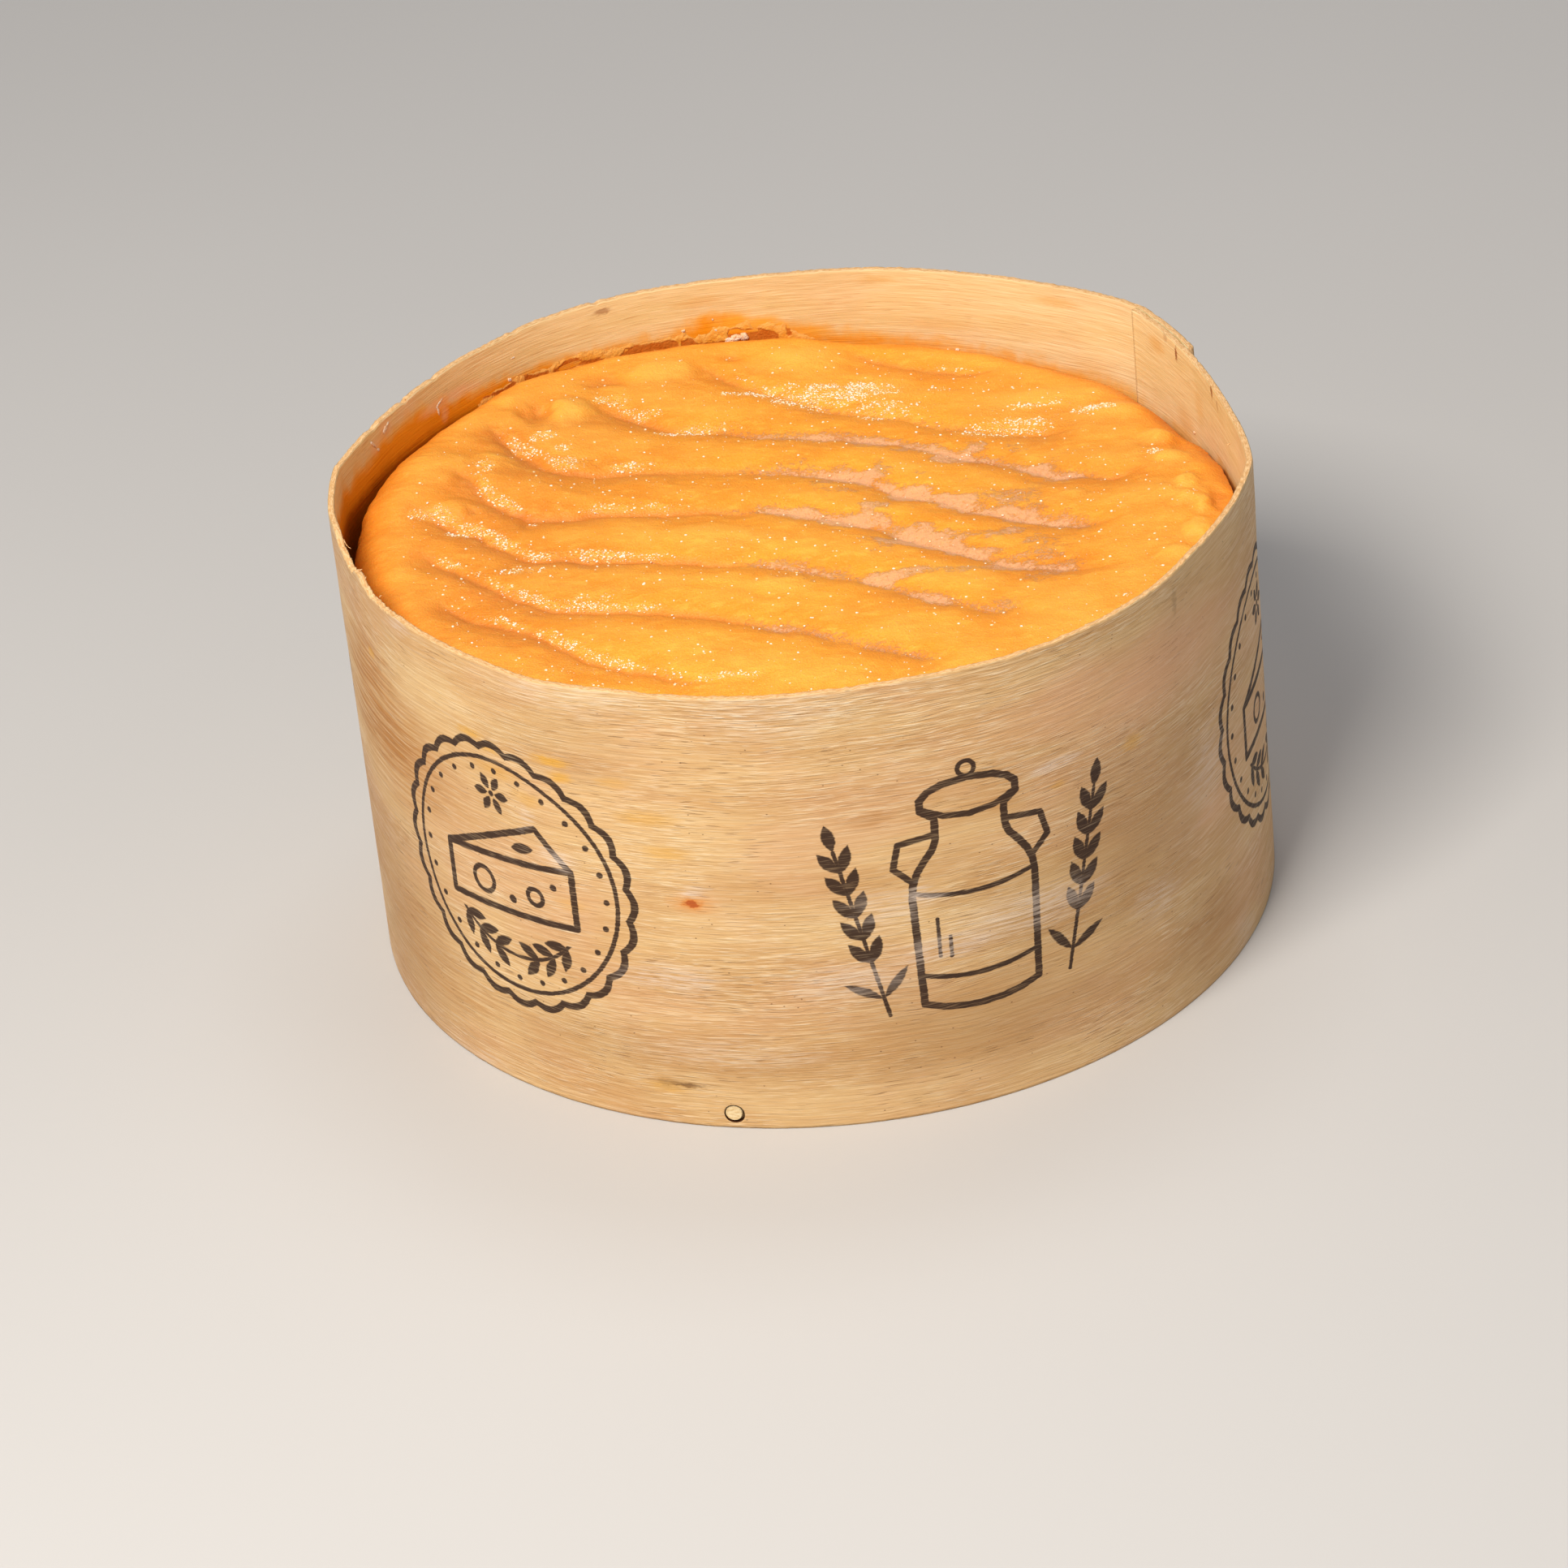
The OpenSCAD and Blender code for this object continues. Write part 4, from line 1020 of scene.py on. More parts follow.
def moist_grain():
    g = Graph("moist_grain", Roughness=0.16, Specular_IOR_Level=0.7, Subsurface_Weight=0.3, Subsurface_Scale=0.0006)
    g.bsdf.inputs["Subsurface Radius"].default_value = (1.0, 0.7, 0.4)
    p = g.v("SCALE", g.object(), scale=1000.0)
    some = g.noise(p, 0.8, 2.0)
    # Pale cream that partly stands for glints of light on moist rind.
    col = g.mix(g.ramp(some, 0.35, 0.65), lin("FFF3DC"), lin("FFDDA6"))
    g.set("Base Color", col)
    g.set("Normal", g.bump(g.noise(p, 9.0, 1.0), 0.00003, 0.5))
    return g.mat


def floor_paint():
    g = Graph("floor_paint", Roughness=0.6, Specular_IOR_Level=0.2)
    p = g.object()
    tone = g.noise(p, 3.0, 3.0)
    g.set("Base Color", g.mix(g.ramp(tone, 0.3, 0.7), (0.54, 0.53, 0.52, 1), (0.56, 0.55, 0.54, 1)))
    return g.mat


M_OUT = veneer_outside()
M_IN = veneer_inside()
M_RIND = washed_rind()
M_GRAIN = moist_grain()
M_STUCK = stuck_rind()
M_CRUMB = dry_crumb()


# ---------------------------------------------------------------- the band

def rim_az(px, py):
    """Azimuth of a spot of the rim in the picture."""
    d = ray(px, py)
    k = (60 - EYE[2]) / d[2]
    return float(azimuth(EYE[0] + k * d[0], EYE[1] + k * d[1]))


RIM_NICKS = [(rim_az(px, py), width, depth) for px, py, width, depth in (
    (526, 463, 0.5, 0.30), (502, 494, 0.6, 0.35), (739, 379, 0.45, 0.25), (1427, 386, 0.6, 0.35), (1470, 417, 0.5, 0.30), (1489, 440, 0.4, 0.2), (464, 527, 0.7, 0.25), (640, 412, 0.5, 0.15))]


def rim_drop(s):
    """How far the rim stands below the full height: saw marks all round, and a torn stretch."""
    az = (np.asarray(s, float) + 180) % 360 - 180
    lap = smooth(1 - np.abs(az - 118.5) / 11)
    drop = 0.11 + 0.09 * noise(s * 1.9, 0.5, 0, 51) + 0.08 * noise(s * 0.35, 2.5, 0, 52) + 0.04 * noise(s * 6.0, 4.5, 0, 54)
    drop = drop * (1 - 0.9 * lap)
    torn_az = [-85, -84.2, -83.4, -82.9, -81, -79.4, -78.6, -77, -76.2, -75.2, -74.7, -74.4, -73, -72.0, -71.7, -71.2, -69.5, -69.2, -67, -66.7, -65.4, -64, -63.7, -62.2, -61.9, -60.4, -59, -57]
    torn_d = [0, 0.10, 0.55, 0.85, 0.95, 1.30, 1.15, 1.25, 1.05, 1.02, 0.55, 0.20, 0.10, 0.12, 0.45, 0.80, 0.95, 1.12, 1.15, 0.95, 1.0, 0.92, 0.60, 0.62, 0.42, 0.32, 0.10, 0]
    torn = np.interp(az, torn_az, torn_d, left=0, right=0)
    torn = torn * (1 + 0.20 * noise(s * 4.1, 7.5, 0, 53)) + 0.10 * (torn > 0.08) * noise(s * 9.0, 1.5, 0, 56)
    nick = sum(depth * np.exp(-((az - a) / width) ** 2) for a, width, depth in RIM_NICKS)
    return drop + torn + nick * np.where(np.abs(az - 118.5) < 7, 0.4, 1.0)


def curl(s, z):
    """The rim leans in a little where it is torn."""
    az = (np.asarray(s, float) + 180) % 360 - 180
    a = np.interp(az, [-95, -90, -84, -79, -70, -65, -61, -56], [0, 0.05, -0.45, -0.85, -0.95, -0.75, -0.30, 0], left=0, right=0)
    return a * smooth((z - 28) / 34) ** 1.5


def wave(s, z):
    """Slight unevenness of the sheet. It is nil at the foot and in the lap."""
    p = polar(s, BASE_R, z)
    az = (np.asarray(s, float) + 180) % 360 - 180
    calm = smooth((z - 5) / 8) * smooth((np.abs(az - 118.5) - 9) / 9)
    return curl(s, z) + calm * (0.09 * fbm(p[..., 0] / 13, p[..., 1] / 13, p[..., 2] / 16, 61, 2) + 0.018 * noise(p[..., 0] / 2.6, p[..., 1] / 2.6, p[..., 2] / 0.9, 63))


def make_band():
    s = np.concatenate([np.linspace(LAP_A, 273, 440, endpoint=False), np.linspace(273, 305, 260, endpoint=False), np.linspace(305, LAP_B + 360, 490)])
    n = len(s)
    zb = np.array([0, 0.3, 0.7, 1.15, 1.6, 2.05, 2.5, 2.95, 3.4, 3.8, 4.2, 5, 6.5, 8.5, 11, 14, 17, 20, 23, 26, 29, 32, 35, 38, 41, 44, 47, 49.5, 51.5, 53.2, 54.6, 55.8, 56.8, 57.6, 58.3, 58.9, 59.4, 59.75, 60.0])
    rows = len(zb)
    drop = rim_drop(s)
    foot = 0.05 + 0.05 * noise(s * 1.6, 3.3, 0, 55)
    S, Z = np.meshgrid(s, zb, indexing="ij")
    Z = Z - drop[:, None] * smooth((Z - 48) / 12) + foot[:, None] * (1 - smooth(Z / 2.6))
    w = wave(S, Z)
    outer = polar(S, strip_r(S, Z, 0.0) + w, Z)
    inner = polar(S, strip_r(S, Z, VENEER) + w, Z)
    top = Z[:, -1]
    rim = []
    for k, f in enumerate((0.13, 0.38, 0.62, 0.87)):
        zz = top + 0.06 + 0.05 * noise(s * 2.3, f * 9, 0, 57)
        rim.append(polar(s, strip_r(s, top, VENEER * f) + w[:, -1], zz))
    ground = [polar(s, strip_r(s, 0.0, VENEER * f), Z[:, 0] * 0.6) for f in (0.85, 0.15)]
    loop = np.concatenate([outer, np.stack(rim, 1), inner[:, ::-1], np.stack(ground, 1)], 1)
    depth = np.concatenate([np.zeros(rows), VENEER * np.array([0.13, 0.38, 0.62, 0.87]), np.full(rows, VENEER), VENEER * np.array([0.85, 0.15])])
    m = loop.shape[1]
    co = loop.reshape(-1, 3)
    att = np.stack([np.repeat(s * ARC, m), co[:, 2], np.tile(depth, n)], 1)
    idx = np.arange(n * m).reshape(n, m)
    nxt = np.roll(idx, -1, axis=1)
    quads = np.stack([idx[:-1], idx[1:], nxt[1:], nxt[:-1]], -1)
    # 0 where a face is on the outside.
    kind = np.ones(m, int)
    kind[:rows - 1] = 0
    # The pegs' holes: a window in the grid on each side of the sheet, filled with rings round the hole.
    keep = np.ones((n - 1, m), bool)
    extra_co, extra_att, extra_q, extra_m, extra_hole = [], [], [], [], []
    count = len(co)
    r0, r1 = 1, 9
    for peg_s, radius, shift in ((345.0, 1.27, 0.13), (465.0, 1.2, 0.05), (225.0, 1.2, -0.05)):
        c0 = int(np.searchsorted(s, peg_s - 1.95 / ARC))
        c1 = int(np.searchsorted(s, peg_s + 1.95 / ARC))
        circles = []
        for side in (0, 1):
            rr = (lambda j: j) if side == 0 else (lambda j: rows + 4 + rows - 1 - j)
            cells = range(r0, r1) if side == 0 else range(rr(r1), rr(r0))
            for j in cells:
                keep[c0:c1, j] = False
            border = ([(i, r0) for i in range(c0, c1)] + [(c1, j) for j in range(r0, r1)]
                      + [(i, r1) for i in range(c1, c0, -1)] + [(c0, j) for j in range(r1, r0, -1)])
            ids = np.array([idx[i, rr(j)] for i, j in border])
            us = np.array([(s[i] - peg_s) * ARC for i, j in border])
            vs = np.array([Z[i, j] - 2.0 for i, j in border])
            ang = np.arctan2(vs, us - shift)
            cu, cv = shift + radius * np.cos(ang), radius * np.sin(ang)
            rings = [ids]
            dd = 0.0 if side == 0 else VENEER
            for t in (0.4, 0.75, 0.95, 1.0):
                u, v = us + (cu - us) * t, vs + (cv - vs) * t
                if t == 1.0:
                    dd2 = dd + (0.06 if side == 0 else -0.06)
                else:
                    dd2 = dd
                ss, zz = peg_s + u / ARC, v + 2.0
                pts = polar(ss, strip_r(ss, zz, dd2), zz)
                rings.append(count + np.arange(len(ids)))
                count += len(ids)
                extra_co.append(pts)
                extra_att.append(np.stack([ss * ARC, zz, np.full(len(ids), dd2)], 1))
                extra_hole.append(np.full(len(ids), 1.0 if t == 1.0 else 0.0))
            for a, b in zip(rings[:-1], rings[1:]):
                a2, b2 = np.roll(a, -1), np.roll(b, -1)
                q = np.stack([a, a2, b2, b], 1) if side == 0 else np.stack([a, b, b2, a2], 1)
                extra_q.append(q)
                extra_m.append(np.full(len(q), 0 if side == 0 and b is not rings[-1] else 1))
            circles.append((rings[-1], ang, cu, cv))
        (a, ang, cu, cv), (b, _, _, _) = circles
        mids = [a]
        for dd in (0.25, 0.55):
            ss, zz = peg_s + cu / ARC, cv + 2.0
            extra_co.append(polar(ss, strip_r(ss, zz, dd), zz))
            extra_att.append(np.stack([ss * ARC, zz, np.full(len(a), dd)], 1))
            extra_hole.append(np.ones(len(a)))
            mids.append(count + np.arange(len(a)))
            count += len(a)
        mids.append(b)
        for a_, b_ in zip(mids[:-1], mids[1:]):
            q = np.stack([a_, np.roll(a_, -1), np.roll(b_, -1), b_], 1)
            extra_q.append(q)
            extra_m.append(np.full(len(q), 1))
    face_mat = np.broadcast_to(kind, (n - 1, m))[keep]
    quads = quads[keep]
    # Both ends of the strip.
    caps = []
    for i, flip in ((0, False), (n - 1, True)):
        o = idx[i, :rows]
        inn = idx[i, rows + 4:rows + 4 + rows][::-1]
        rimv = idx[i, rows:rows + 4]
        gr = idx[i, rows + 4 + rows:]
        faces = [[o[j], o[j + 1], inn[j + 1], inn[j]] for j in range(rows - 1)]
        faces.append([o[-1], rimv[0], rimv[3], inn[-1]])
        faces.append([rimv[0], rimv[1], rimv[2], rimv[3]])
        faces.append([inn[0], gr[0], gr[1], o[0]])
        for f in faces:
            caps.append(f[::-1] if flip else f)
    quads = np.concatenate([quads] + extra_q + [np.array(caps)])
    face_mat = np.concatenate([face_mat] + extra_m + [np.ones(len(caps), int)])
    co = np.concatenate([co] + extra_co)
    att = np.concatenate([att] + extra_att)
    # The bore walls of the peg holes, which get painted shade.
    hole = np.concatenate([np.zeros(n * m)] + extra_hole)
    # Marks that grease and handling have left, and painted shade low in the gap behind the cheese.
    sm, z, dep = att[:, 0], att[:, 1], att[:, 2]
    az = (sm / ARC + 180) % 360 - 180
    out_side = dep < 0.05

    def patch(a0, z0, wa, wz):
        return np.exp(-((az - a0) / wa) ** 2 - ((z - z0) / wz) ** 2)

    # Where the cheese has greased the wall: azimuth, height over the contact, strength.
    soak_rows = [(-180, 3.4, 0.75), (-172, 4.6, 1.05), (-166, 3.2, 0.85), (-158, 3.0, 0.85), (-150, 3.0, 0.90), (-142, 2.8, 0.95), (-136, 2.8, 1.05),
                 (-131, 3.4, 1.2), (-126, 5.0, 1.25), (-122, 6.2, 1.25), (-119, 6.8, 1.2), (-116, 6.0, 1.1), (-110, 5.2, 1.0), (-95, 5.0, 0.95), (-80, 5.0, 0.9),
                 (-60, 2.4, 0.7), (0, 1.8, 0.6), (60, 1.6, 0.55), (88, 1.0, 0.5), (105, 1.1, 0.45), (120, 1.6, 0.5), (140, 3.0, 0.75), (160, 3.0, 0.70), (172, 3.0, 0.72), (180, 3.4, 0.78)]

    edge_z = contact_height(az)
    reach = table(soak_rows, az, 1) * (1 + 0.35 * fbm(sm / 2.4, 0.5, 0, 71, 2))
    soak = table(soak_rows, az, 2) * (1 - smooth((z - edge_z + 0.2) / (reach + 0.2)))
    soak = soak + 0.45 * patch(-172, 54.6, 5, 1.2) + 0.30 * smooth((44 - np.abs(az + 106)) / 24) * smooth((60.5 - z) / 8.0)
    # Painted shade low on the wall behind the cheese: deep in the gap all round, and higher up on the left.
    gap_shade = smooth((edge_z + 1.6 - z) / 4.0) * smooth((52 - np.abs(az + 96)) / 24) + smooth((edge_z - 0.8 - z) / 2.4)
    attrs = {"strip": att, "grease": np.clip(soak * ~out_side, 0, 1),
             "gap_shade": np.clip(gap_shade * ~out_side, 0, 1), "hole": hole}
    ob = build("band_of_veneer", co, quads, [], [M_OUT, M_IN], face_mat, attrs, "box")
    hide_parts("side_band")
    return ob


# Height at which the cheese meets the wall, seen from the front.
CONTACT = [(-180, 51.7), (-158, 51.9), (-144, 52.6), (-130, 53.0), (-116, 53.6), (-100, 53.4), (-60, 51.5), (0, 49.5), (60, 49.0),
           (92, 50.2), (108, 48.4), (119, 46.3), (133, 46.7), (147, 47.9), (161, 48.8), (168, 49.5), (175, 50.7), (180, 51.7)]


def contact_height(az):
    return table(CONTACT, az, 1)


# ---------------------------------------------------------------- the rind

def skin(inset, N=96):
    """The cheese's outside moved in by inset, as a plainer closed surface."""
    g = np.linspace(-1, 1, N + 1)
    A, B = np.meshgrid(g, g, indexing="ij")
    rad = np.maximum(np.abs(A), np.abs(B))
    with np.errstate(divide="ignore", invalid="ignore"):
        phi = np.where(np.abs(A) >= np.abs(B), np.where(A >= 0, 0, np.pi) + (np.pi / 4) * np.where(A != 0, B / A, 0),
                       np.where(B >= 0, np.pi / 2, -np.pi / 2) - (np.pi / 4) * np.where(B != 0, A / B, 0))
    phi = np.nan_to_num(phi)
    az = (np.degrees(phi) + 270) % 360 - 180
    rin = side_r(az) - edge_w(az) - 0.3 * inset
    x, y = (rad * rin * np.cos(phi)).ravel(), (rad * rin * np.sin(phi)).ravel()
    h = relief(x, y)[0]
    upper = np.stack([x, y, top_base(x, y) + h - inset], 1)
    idx = np.arange((N + 1) ** 2).reshape(N + 1, N + 1)
    per = np.concatenate([idx[:-1, 0], idx[-1, :-1], idx[:0:-1, -1], idx[0, :0:-1]])
    paz = az.ravel()[per]
    n = len(per)
    a = np.radians(paz)
    rv, ew, et = side_r(paz) - 0.2, edge_w(paz), edge_top(paz)
    h_edge = h[per]
    rings, co, total = [per], [upper], len(upper)
    rows = []
    for u in (30, 55, 75, 90):
        t = math.radians(u)
        rows.append((rv - ew * (1 - math.sin(t)) - inset * (0.3 + 0.7 * math.sin(t)), et - shoulder_drop(paz, math.sin(t)) + h_edge * math.cos(t) - inset * (0.25 + 0.75 * math.cos(t))))
    z_low = rows[-1][1]
    for k in (0.25, 0.5, 0.75, 1.0):
        rows.append((rv - inset, z_low * (1 - k) + 7.2 * k))
    rows.append((rv - inset - 0.8, np.full(n, 5.6)))
    rows.append((rv - inset - 2.4, np.full(n, 4.15 + inset)))
    for r, z in rows:
        co.append(np.stack([r * np.sin(a), -r * np.cos(a), z], 1))
        rings.append(total + np.arange(n))
        total += n
    # The underside is the same grid again, turned over.
    r_last = rows[-1][0]
    lower_r = np.interp(np.degrees(np.arctan2(x, -y)) % 360, *[v[np.argsort(paz % 360)] for v in (paz % 360, r_last)], period=360)
    low = np.stack([lower_r * rad.ravel() * np.cos(phi.ravel()), lower_r * rad.ravel() * np.sin(phi.ravel()), np.full(len(x), 4.15 + inset)], 1)
    inner = np.ones(len(x), bool)
    inner[per] = False
    remap = np.full(len(x), -1)
    remap[inner] = total + np.arange(inner.sum())
    remap[per] = rings[-1]
    co.append(low[inner])
    quads = [np.stack([idx[:-1, :-1], idx[1:, :-1], idx[1:, 1:], idx[:-1, 1:]], -1).reshape(-1, 4)]
    quads.append(remap[quads[0]][:, ::-1])
    for p, q in zip(rings[:-1], rings[1:]):
        quads.append(np.stack([q, np.roll(q, -1), np.roll(p, -1), p], 1))
    return np.concatenate(co), np.concatenate(quads)


def make_paste():
    co, quads = skin(1.26)
    ob = build("paste_of_cheese", co, quads, [], [soft_paste()], None, None, "cheese")
    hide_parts("cheese_paste")


def make_rind():
    N = 332
    g = np.linspace(-1, 1, N + 1)
    A, B = np.meshgrid(g, g, indexing="ij")
    rad = np.maximum(np.abs(A), np.abs(B))
    with np.errstate(divide="ignore", invalid="ignore"):
        phi = np.where(np.abs(A) >= np.abs(B), np.where(A >= 0, 0, np.pi) + (np.pi / 4) * np.where(A != 0, B / A, 0),
                       np.where(B >= 0, np.pi / 2, -np.pi / 2) - (np.pi / 4) * np.where(B != 0, A / B, 0))
    phi = np.nan_to_num(phi)
    az = (np.degrees(phi) + 90 + 180) % 360 - 180
    rin = side_r(az) - edge_w(az)
    X, Y = rad * rin * np.cos(phi), rad * rin * np.sin(phi)
    top_xy = np.stack([X.ravel(), Y.ravel()], 1)
    idx = np.arange((N + 1) ** 2).reshape(N + 1, N + 1)
    quads = [np.stack([idx[:-1, :-1], idx[1:, :-1], idx[1:, 1:], idx[:-1, 1:]], -1).reshape(-1, 4)]
    # The rim of the grid, counter-clockwise.
    per = np.concatenate([idx[:-1, 0], idx[-1, :-1], idx[:0:-1, -1], idx[0, :0:-1]])
    paz = az.ravel()[per]
    n = len(per)
    co = [np.stack([top_xy[:, 0], top_xy[:, 1], np.zeros(len(top_xy))], 1)]
    total = len(top_xy)
    rv, ew, ed, et = side_r(paz), edge_w(paz), edge_d(paz), edge_top(paz)
    shoulder = []
    us = np.linspace(0, 90, 21)[1:]
    for u in us:
        t = math.radians(u)
        r = rv - ew * (1 - math.sin(t))
        shoulder.append((r, et - shoulder_drop(paz, math.sin(t)), math.cos(t)))
    side = []
    zs = et - ed
    for k in range(1, 15):
        t = k / 14
        z = zs * (1 - t) + 6.6 * t
        side.append((rv - 0.22 * math.sin(math.pi * t), z, 0.0))
    for u in (25, 50, 72, 90):
        t = math.radians(u)
        side.append((rv - 2.5 * (1 - math.cos(t)), 6.6 - 2.57 * math.sin(t), 0.0))
    rings = [per]
    shade = [np.ones(len(top_xy))]
    for r, z, f in shoulder + side:
        a = np.radians(paz)
        # Fine upright pleats down the side.
        pleat = 0.09 * noise(paz * 1.35, z / 9.0, 0, 81) + 0.05 * noise(paz * 3.1, z / 5.0, 0, 82) - 0.06
        left = smooth((70 - np.abs(paz + 100)) / 40)
        rr = r + pleat * (1 - f) * (1 + 0.8 * left) + 0.05 * noise(paz / 4, z / 3.0, 2, 83) * (1 - f)
        co.append(np.stack([rr * np.sin(a), -rr * np.cos(a), np.broadcast_to(z, rr.shape)], 1))
        rings.append(total + np.arange(n))
        shade.append(np.full(n, f))
        total += n
    for a, b in zip(rings[:-1], rings[1:]):
        quads.append(np.stack([b, np.roll(b, -1), np.roll(a, -1), a], 1))
    # Underside: rings with half as many points each time.
    tris = []
    last, cnt = rings[-1], n
    for frac in (0.80, 0.52, 0.26):
        cnt //= 2
        a = np.radians(paz[::n // cnt])
        r = (rv[::n // cnt] - 2.5) * frac
        zz = 4.03 + 0.12 * smooth(1 - frac) + 0.04 * noise(r * np.sin(a) / 4, r * np.cos(a) / 4, 0, 85)
        co.append(np.stack([r * np.sin(a), -r * np.cos(a), zz], 1))
        b = total + np.arange(cnt)
        total += cnt
        a0, a1, a2 = last[0::2], last[1::2], np.roll(last, -2)[0::2]
        b0, b1 = b, np.roll(b, -1)
        tris += [np.stack([a0, b0, a1], 1), np.stack([a1, b1, a2], 1), np.stack([a1, b0, b1], 1)]
        last = b
        shade.append(np.zeros(cnt))
    co.append(np.array([[0, 0, 4.15]]))
    shade.append(np.zeros(1))
    tris.append(np.stack([last, np.full(len(last), total), np.roll(last, -1)], 1))
    co = np.concatenate(co)
    shade = np.concatenate(shade)
    top_n = (N + 1) ** 2
    shoulder_n = top_n + len(us) * n
    x, y = co[:shoulder_n, 0], co[:shoulder_n, 1]
    h, crease, wet, bloom, fold_shade = relief(x, y)
    f = shade[:shoulder_n] ** 0.7
    rho = np.hypot(x, y) / (side_r(azimuth(x, y)) - edge_w(azimuth(x, y)))
    co[:top_n, 2] = top_base(x[:top_n], y[:top_n])
    co[:shoulder_n, 2] += h * f
    co[:, 2] = np.maximum(co[:, 2], 4.02)
    # The hollow that the paste fills.
    in_co, in_quads = skin(1.2)
    quads.append(in_quads[:, ::-1] + len(co))
    co = np.concatenate([co, in_co])
    total = len(co)

    def full(v, fill=0.0):
        out = np.full(total, fill)
        out[:len(v)] = v
        return out

    wide = fbm(x / 4, y / 3, 0, 91, 3)
    # Paler crests and lumps, used for painted light.
    high = np.clip(0.5 + 1.1 * h + 0.35 * wide, 0, 1) * f
    for cx, cy, ra, rb, a in LUMP_AT:
        if a > 0.45:
            high = np.maximum(high, np.exp(-((x - cx) / (ra * 0.9)) ** 2 - ((y - cy) / (rb * 0.9)) ** 2) * np.clip(0.8 + 0.9 * wide, 0, 1))
    edge = full(smooth((rho - 0.985) / 0.14), 1.0)
    # Painted shade: the top is darkened towards the left, where the wall shades it, less towards the right, and on the
    # sides below.
    side_shade = full(np.maximum(smooth((-6 - x + 0.25 * y) / 34), 0.55 * smooth((x - 12) / 26)), 0.6)
    attrs = {"crease": full(crease * f), "wet": full(wet * f), "bloom": full(bloom * f), "fold_shade": full(fold_shade * f), "high": full(high * smooth((1.10 - rho) / 0.1)), "edge": edge, "side_shade": side_shade}
    ob = build("rind_of_cheese", co, np.concatenate(quads), np.concatenate(tris), [M_RIND], None, attrs, "cheese")
    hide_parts("cheese_rind")
    return co, top_n, wet, h


def icosphere(times):
    t = (1 + math.sqrt(5)) / 2
    v = [(-1, t, 0), (1, t, 0), (-1, -t, 0), (1, -t, 0), (0, -1, t), (0, 1, t), (0, -1, -t), (0, 1, -t), (t, 0, -1), (t, 0, 1), (-t, 0, -1), (-t, 0, 1)]
    f = [(0, 11, 5), (0, 5, 1), (0, 1, 7), (0, 7, 10), (0, 10, 11), (1, 5, 9), (5, 11, 4), (11, 10, 2), (10, 7, 6), (7, 1, 8),
         (3, 9, 4), (3, 4, 2), (3, 2, 6), (3, 6, 8), (3, 8, 9), (4, 9, 5), (2, 4, 11), (6, 2, 10), (8, 6, 7), (9, 8, 1)]
    v = [np.array(p) / np.linalg.norm(p) for p in v]
    if not times:
        return np.array(v), np.array(f)
    cache, out = {}, []

    def mid(a, b):
        key = (min(a, b), max(a, b))
        if key not in cache:
            p = v[a] + v[b]
            v.append(p / np.linalg.norm(p))
            cache[key] = len(v) - 1
        return cache[key]
    for a, b, c in f:
        ab, bc, ca = mid(a, b), mid(b, c), mid(c, a)
        out += [(a, ab, ca), (b, bc, ab), (c, ca, bc), (ab, bc, ca)]
    return np.array(v), np.array(out)


def scatter_grains(co, top_n, wet, h):
    """Small moist grains on the rind, painted pale so that they also stand for glints of light."""
    rng = np.random.default_rng(7)
    fine, fine_faces = icosphere(1)
    plain, plain_faces = icosphere(0)
    x, y = co[:top_n, 0], co[:top_n, 1]
    clumps = np.clip(0.5 + 1.1 * fbm(x / 1.3, y / 0.9, 0, 95, 2), 0, 1)
    weight = (np.clip(wet[:top_n] - 0.30, 0, 1) * clumps) ** 1.7 + 0.0006
    pick = rng.choice(top_n, 5400, replace=False, p=weight / weight.sum())
    pts, tri, total = [], [], 0
    for k, i in enumerate(pick):
        size = 0.060 + 0.12 * rng.random() ** 2.4
        base, faces = (fine, fine_faces) if size > 0.085 else (plain, plain_faces)
        scale = size * np.array([1.15, 0.7 + 0.4 * rng.random(), 0.55 + 0.2 * rng.random()])
        turn = rng.normal() * 0.5 - 0.3
        r = np.array([[math.cos(turn), -math.sin(turn), 0], [math.sin(turn), math.cos(turn), 0], [0, 0, 1]])
        shape = base * (1 + 0.12 * rng.standard_normal((len(base), 1)))
        jitter = np.array([rng.normal() * 0.12, rng.normal() * 0.12, -0.01])
        pts.append((shape * scale) @ r.T + co[i] + jitter)
        tri.append(faces + total)
        total += len(base)
    build("grains_on_rind", np.concatenate(pts), [], np.concatenate(tri), [M_GRAIN], None, None, "cheese")


# ---------------------------------------------------------------- what sticks to the wall

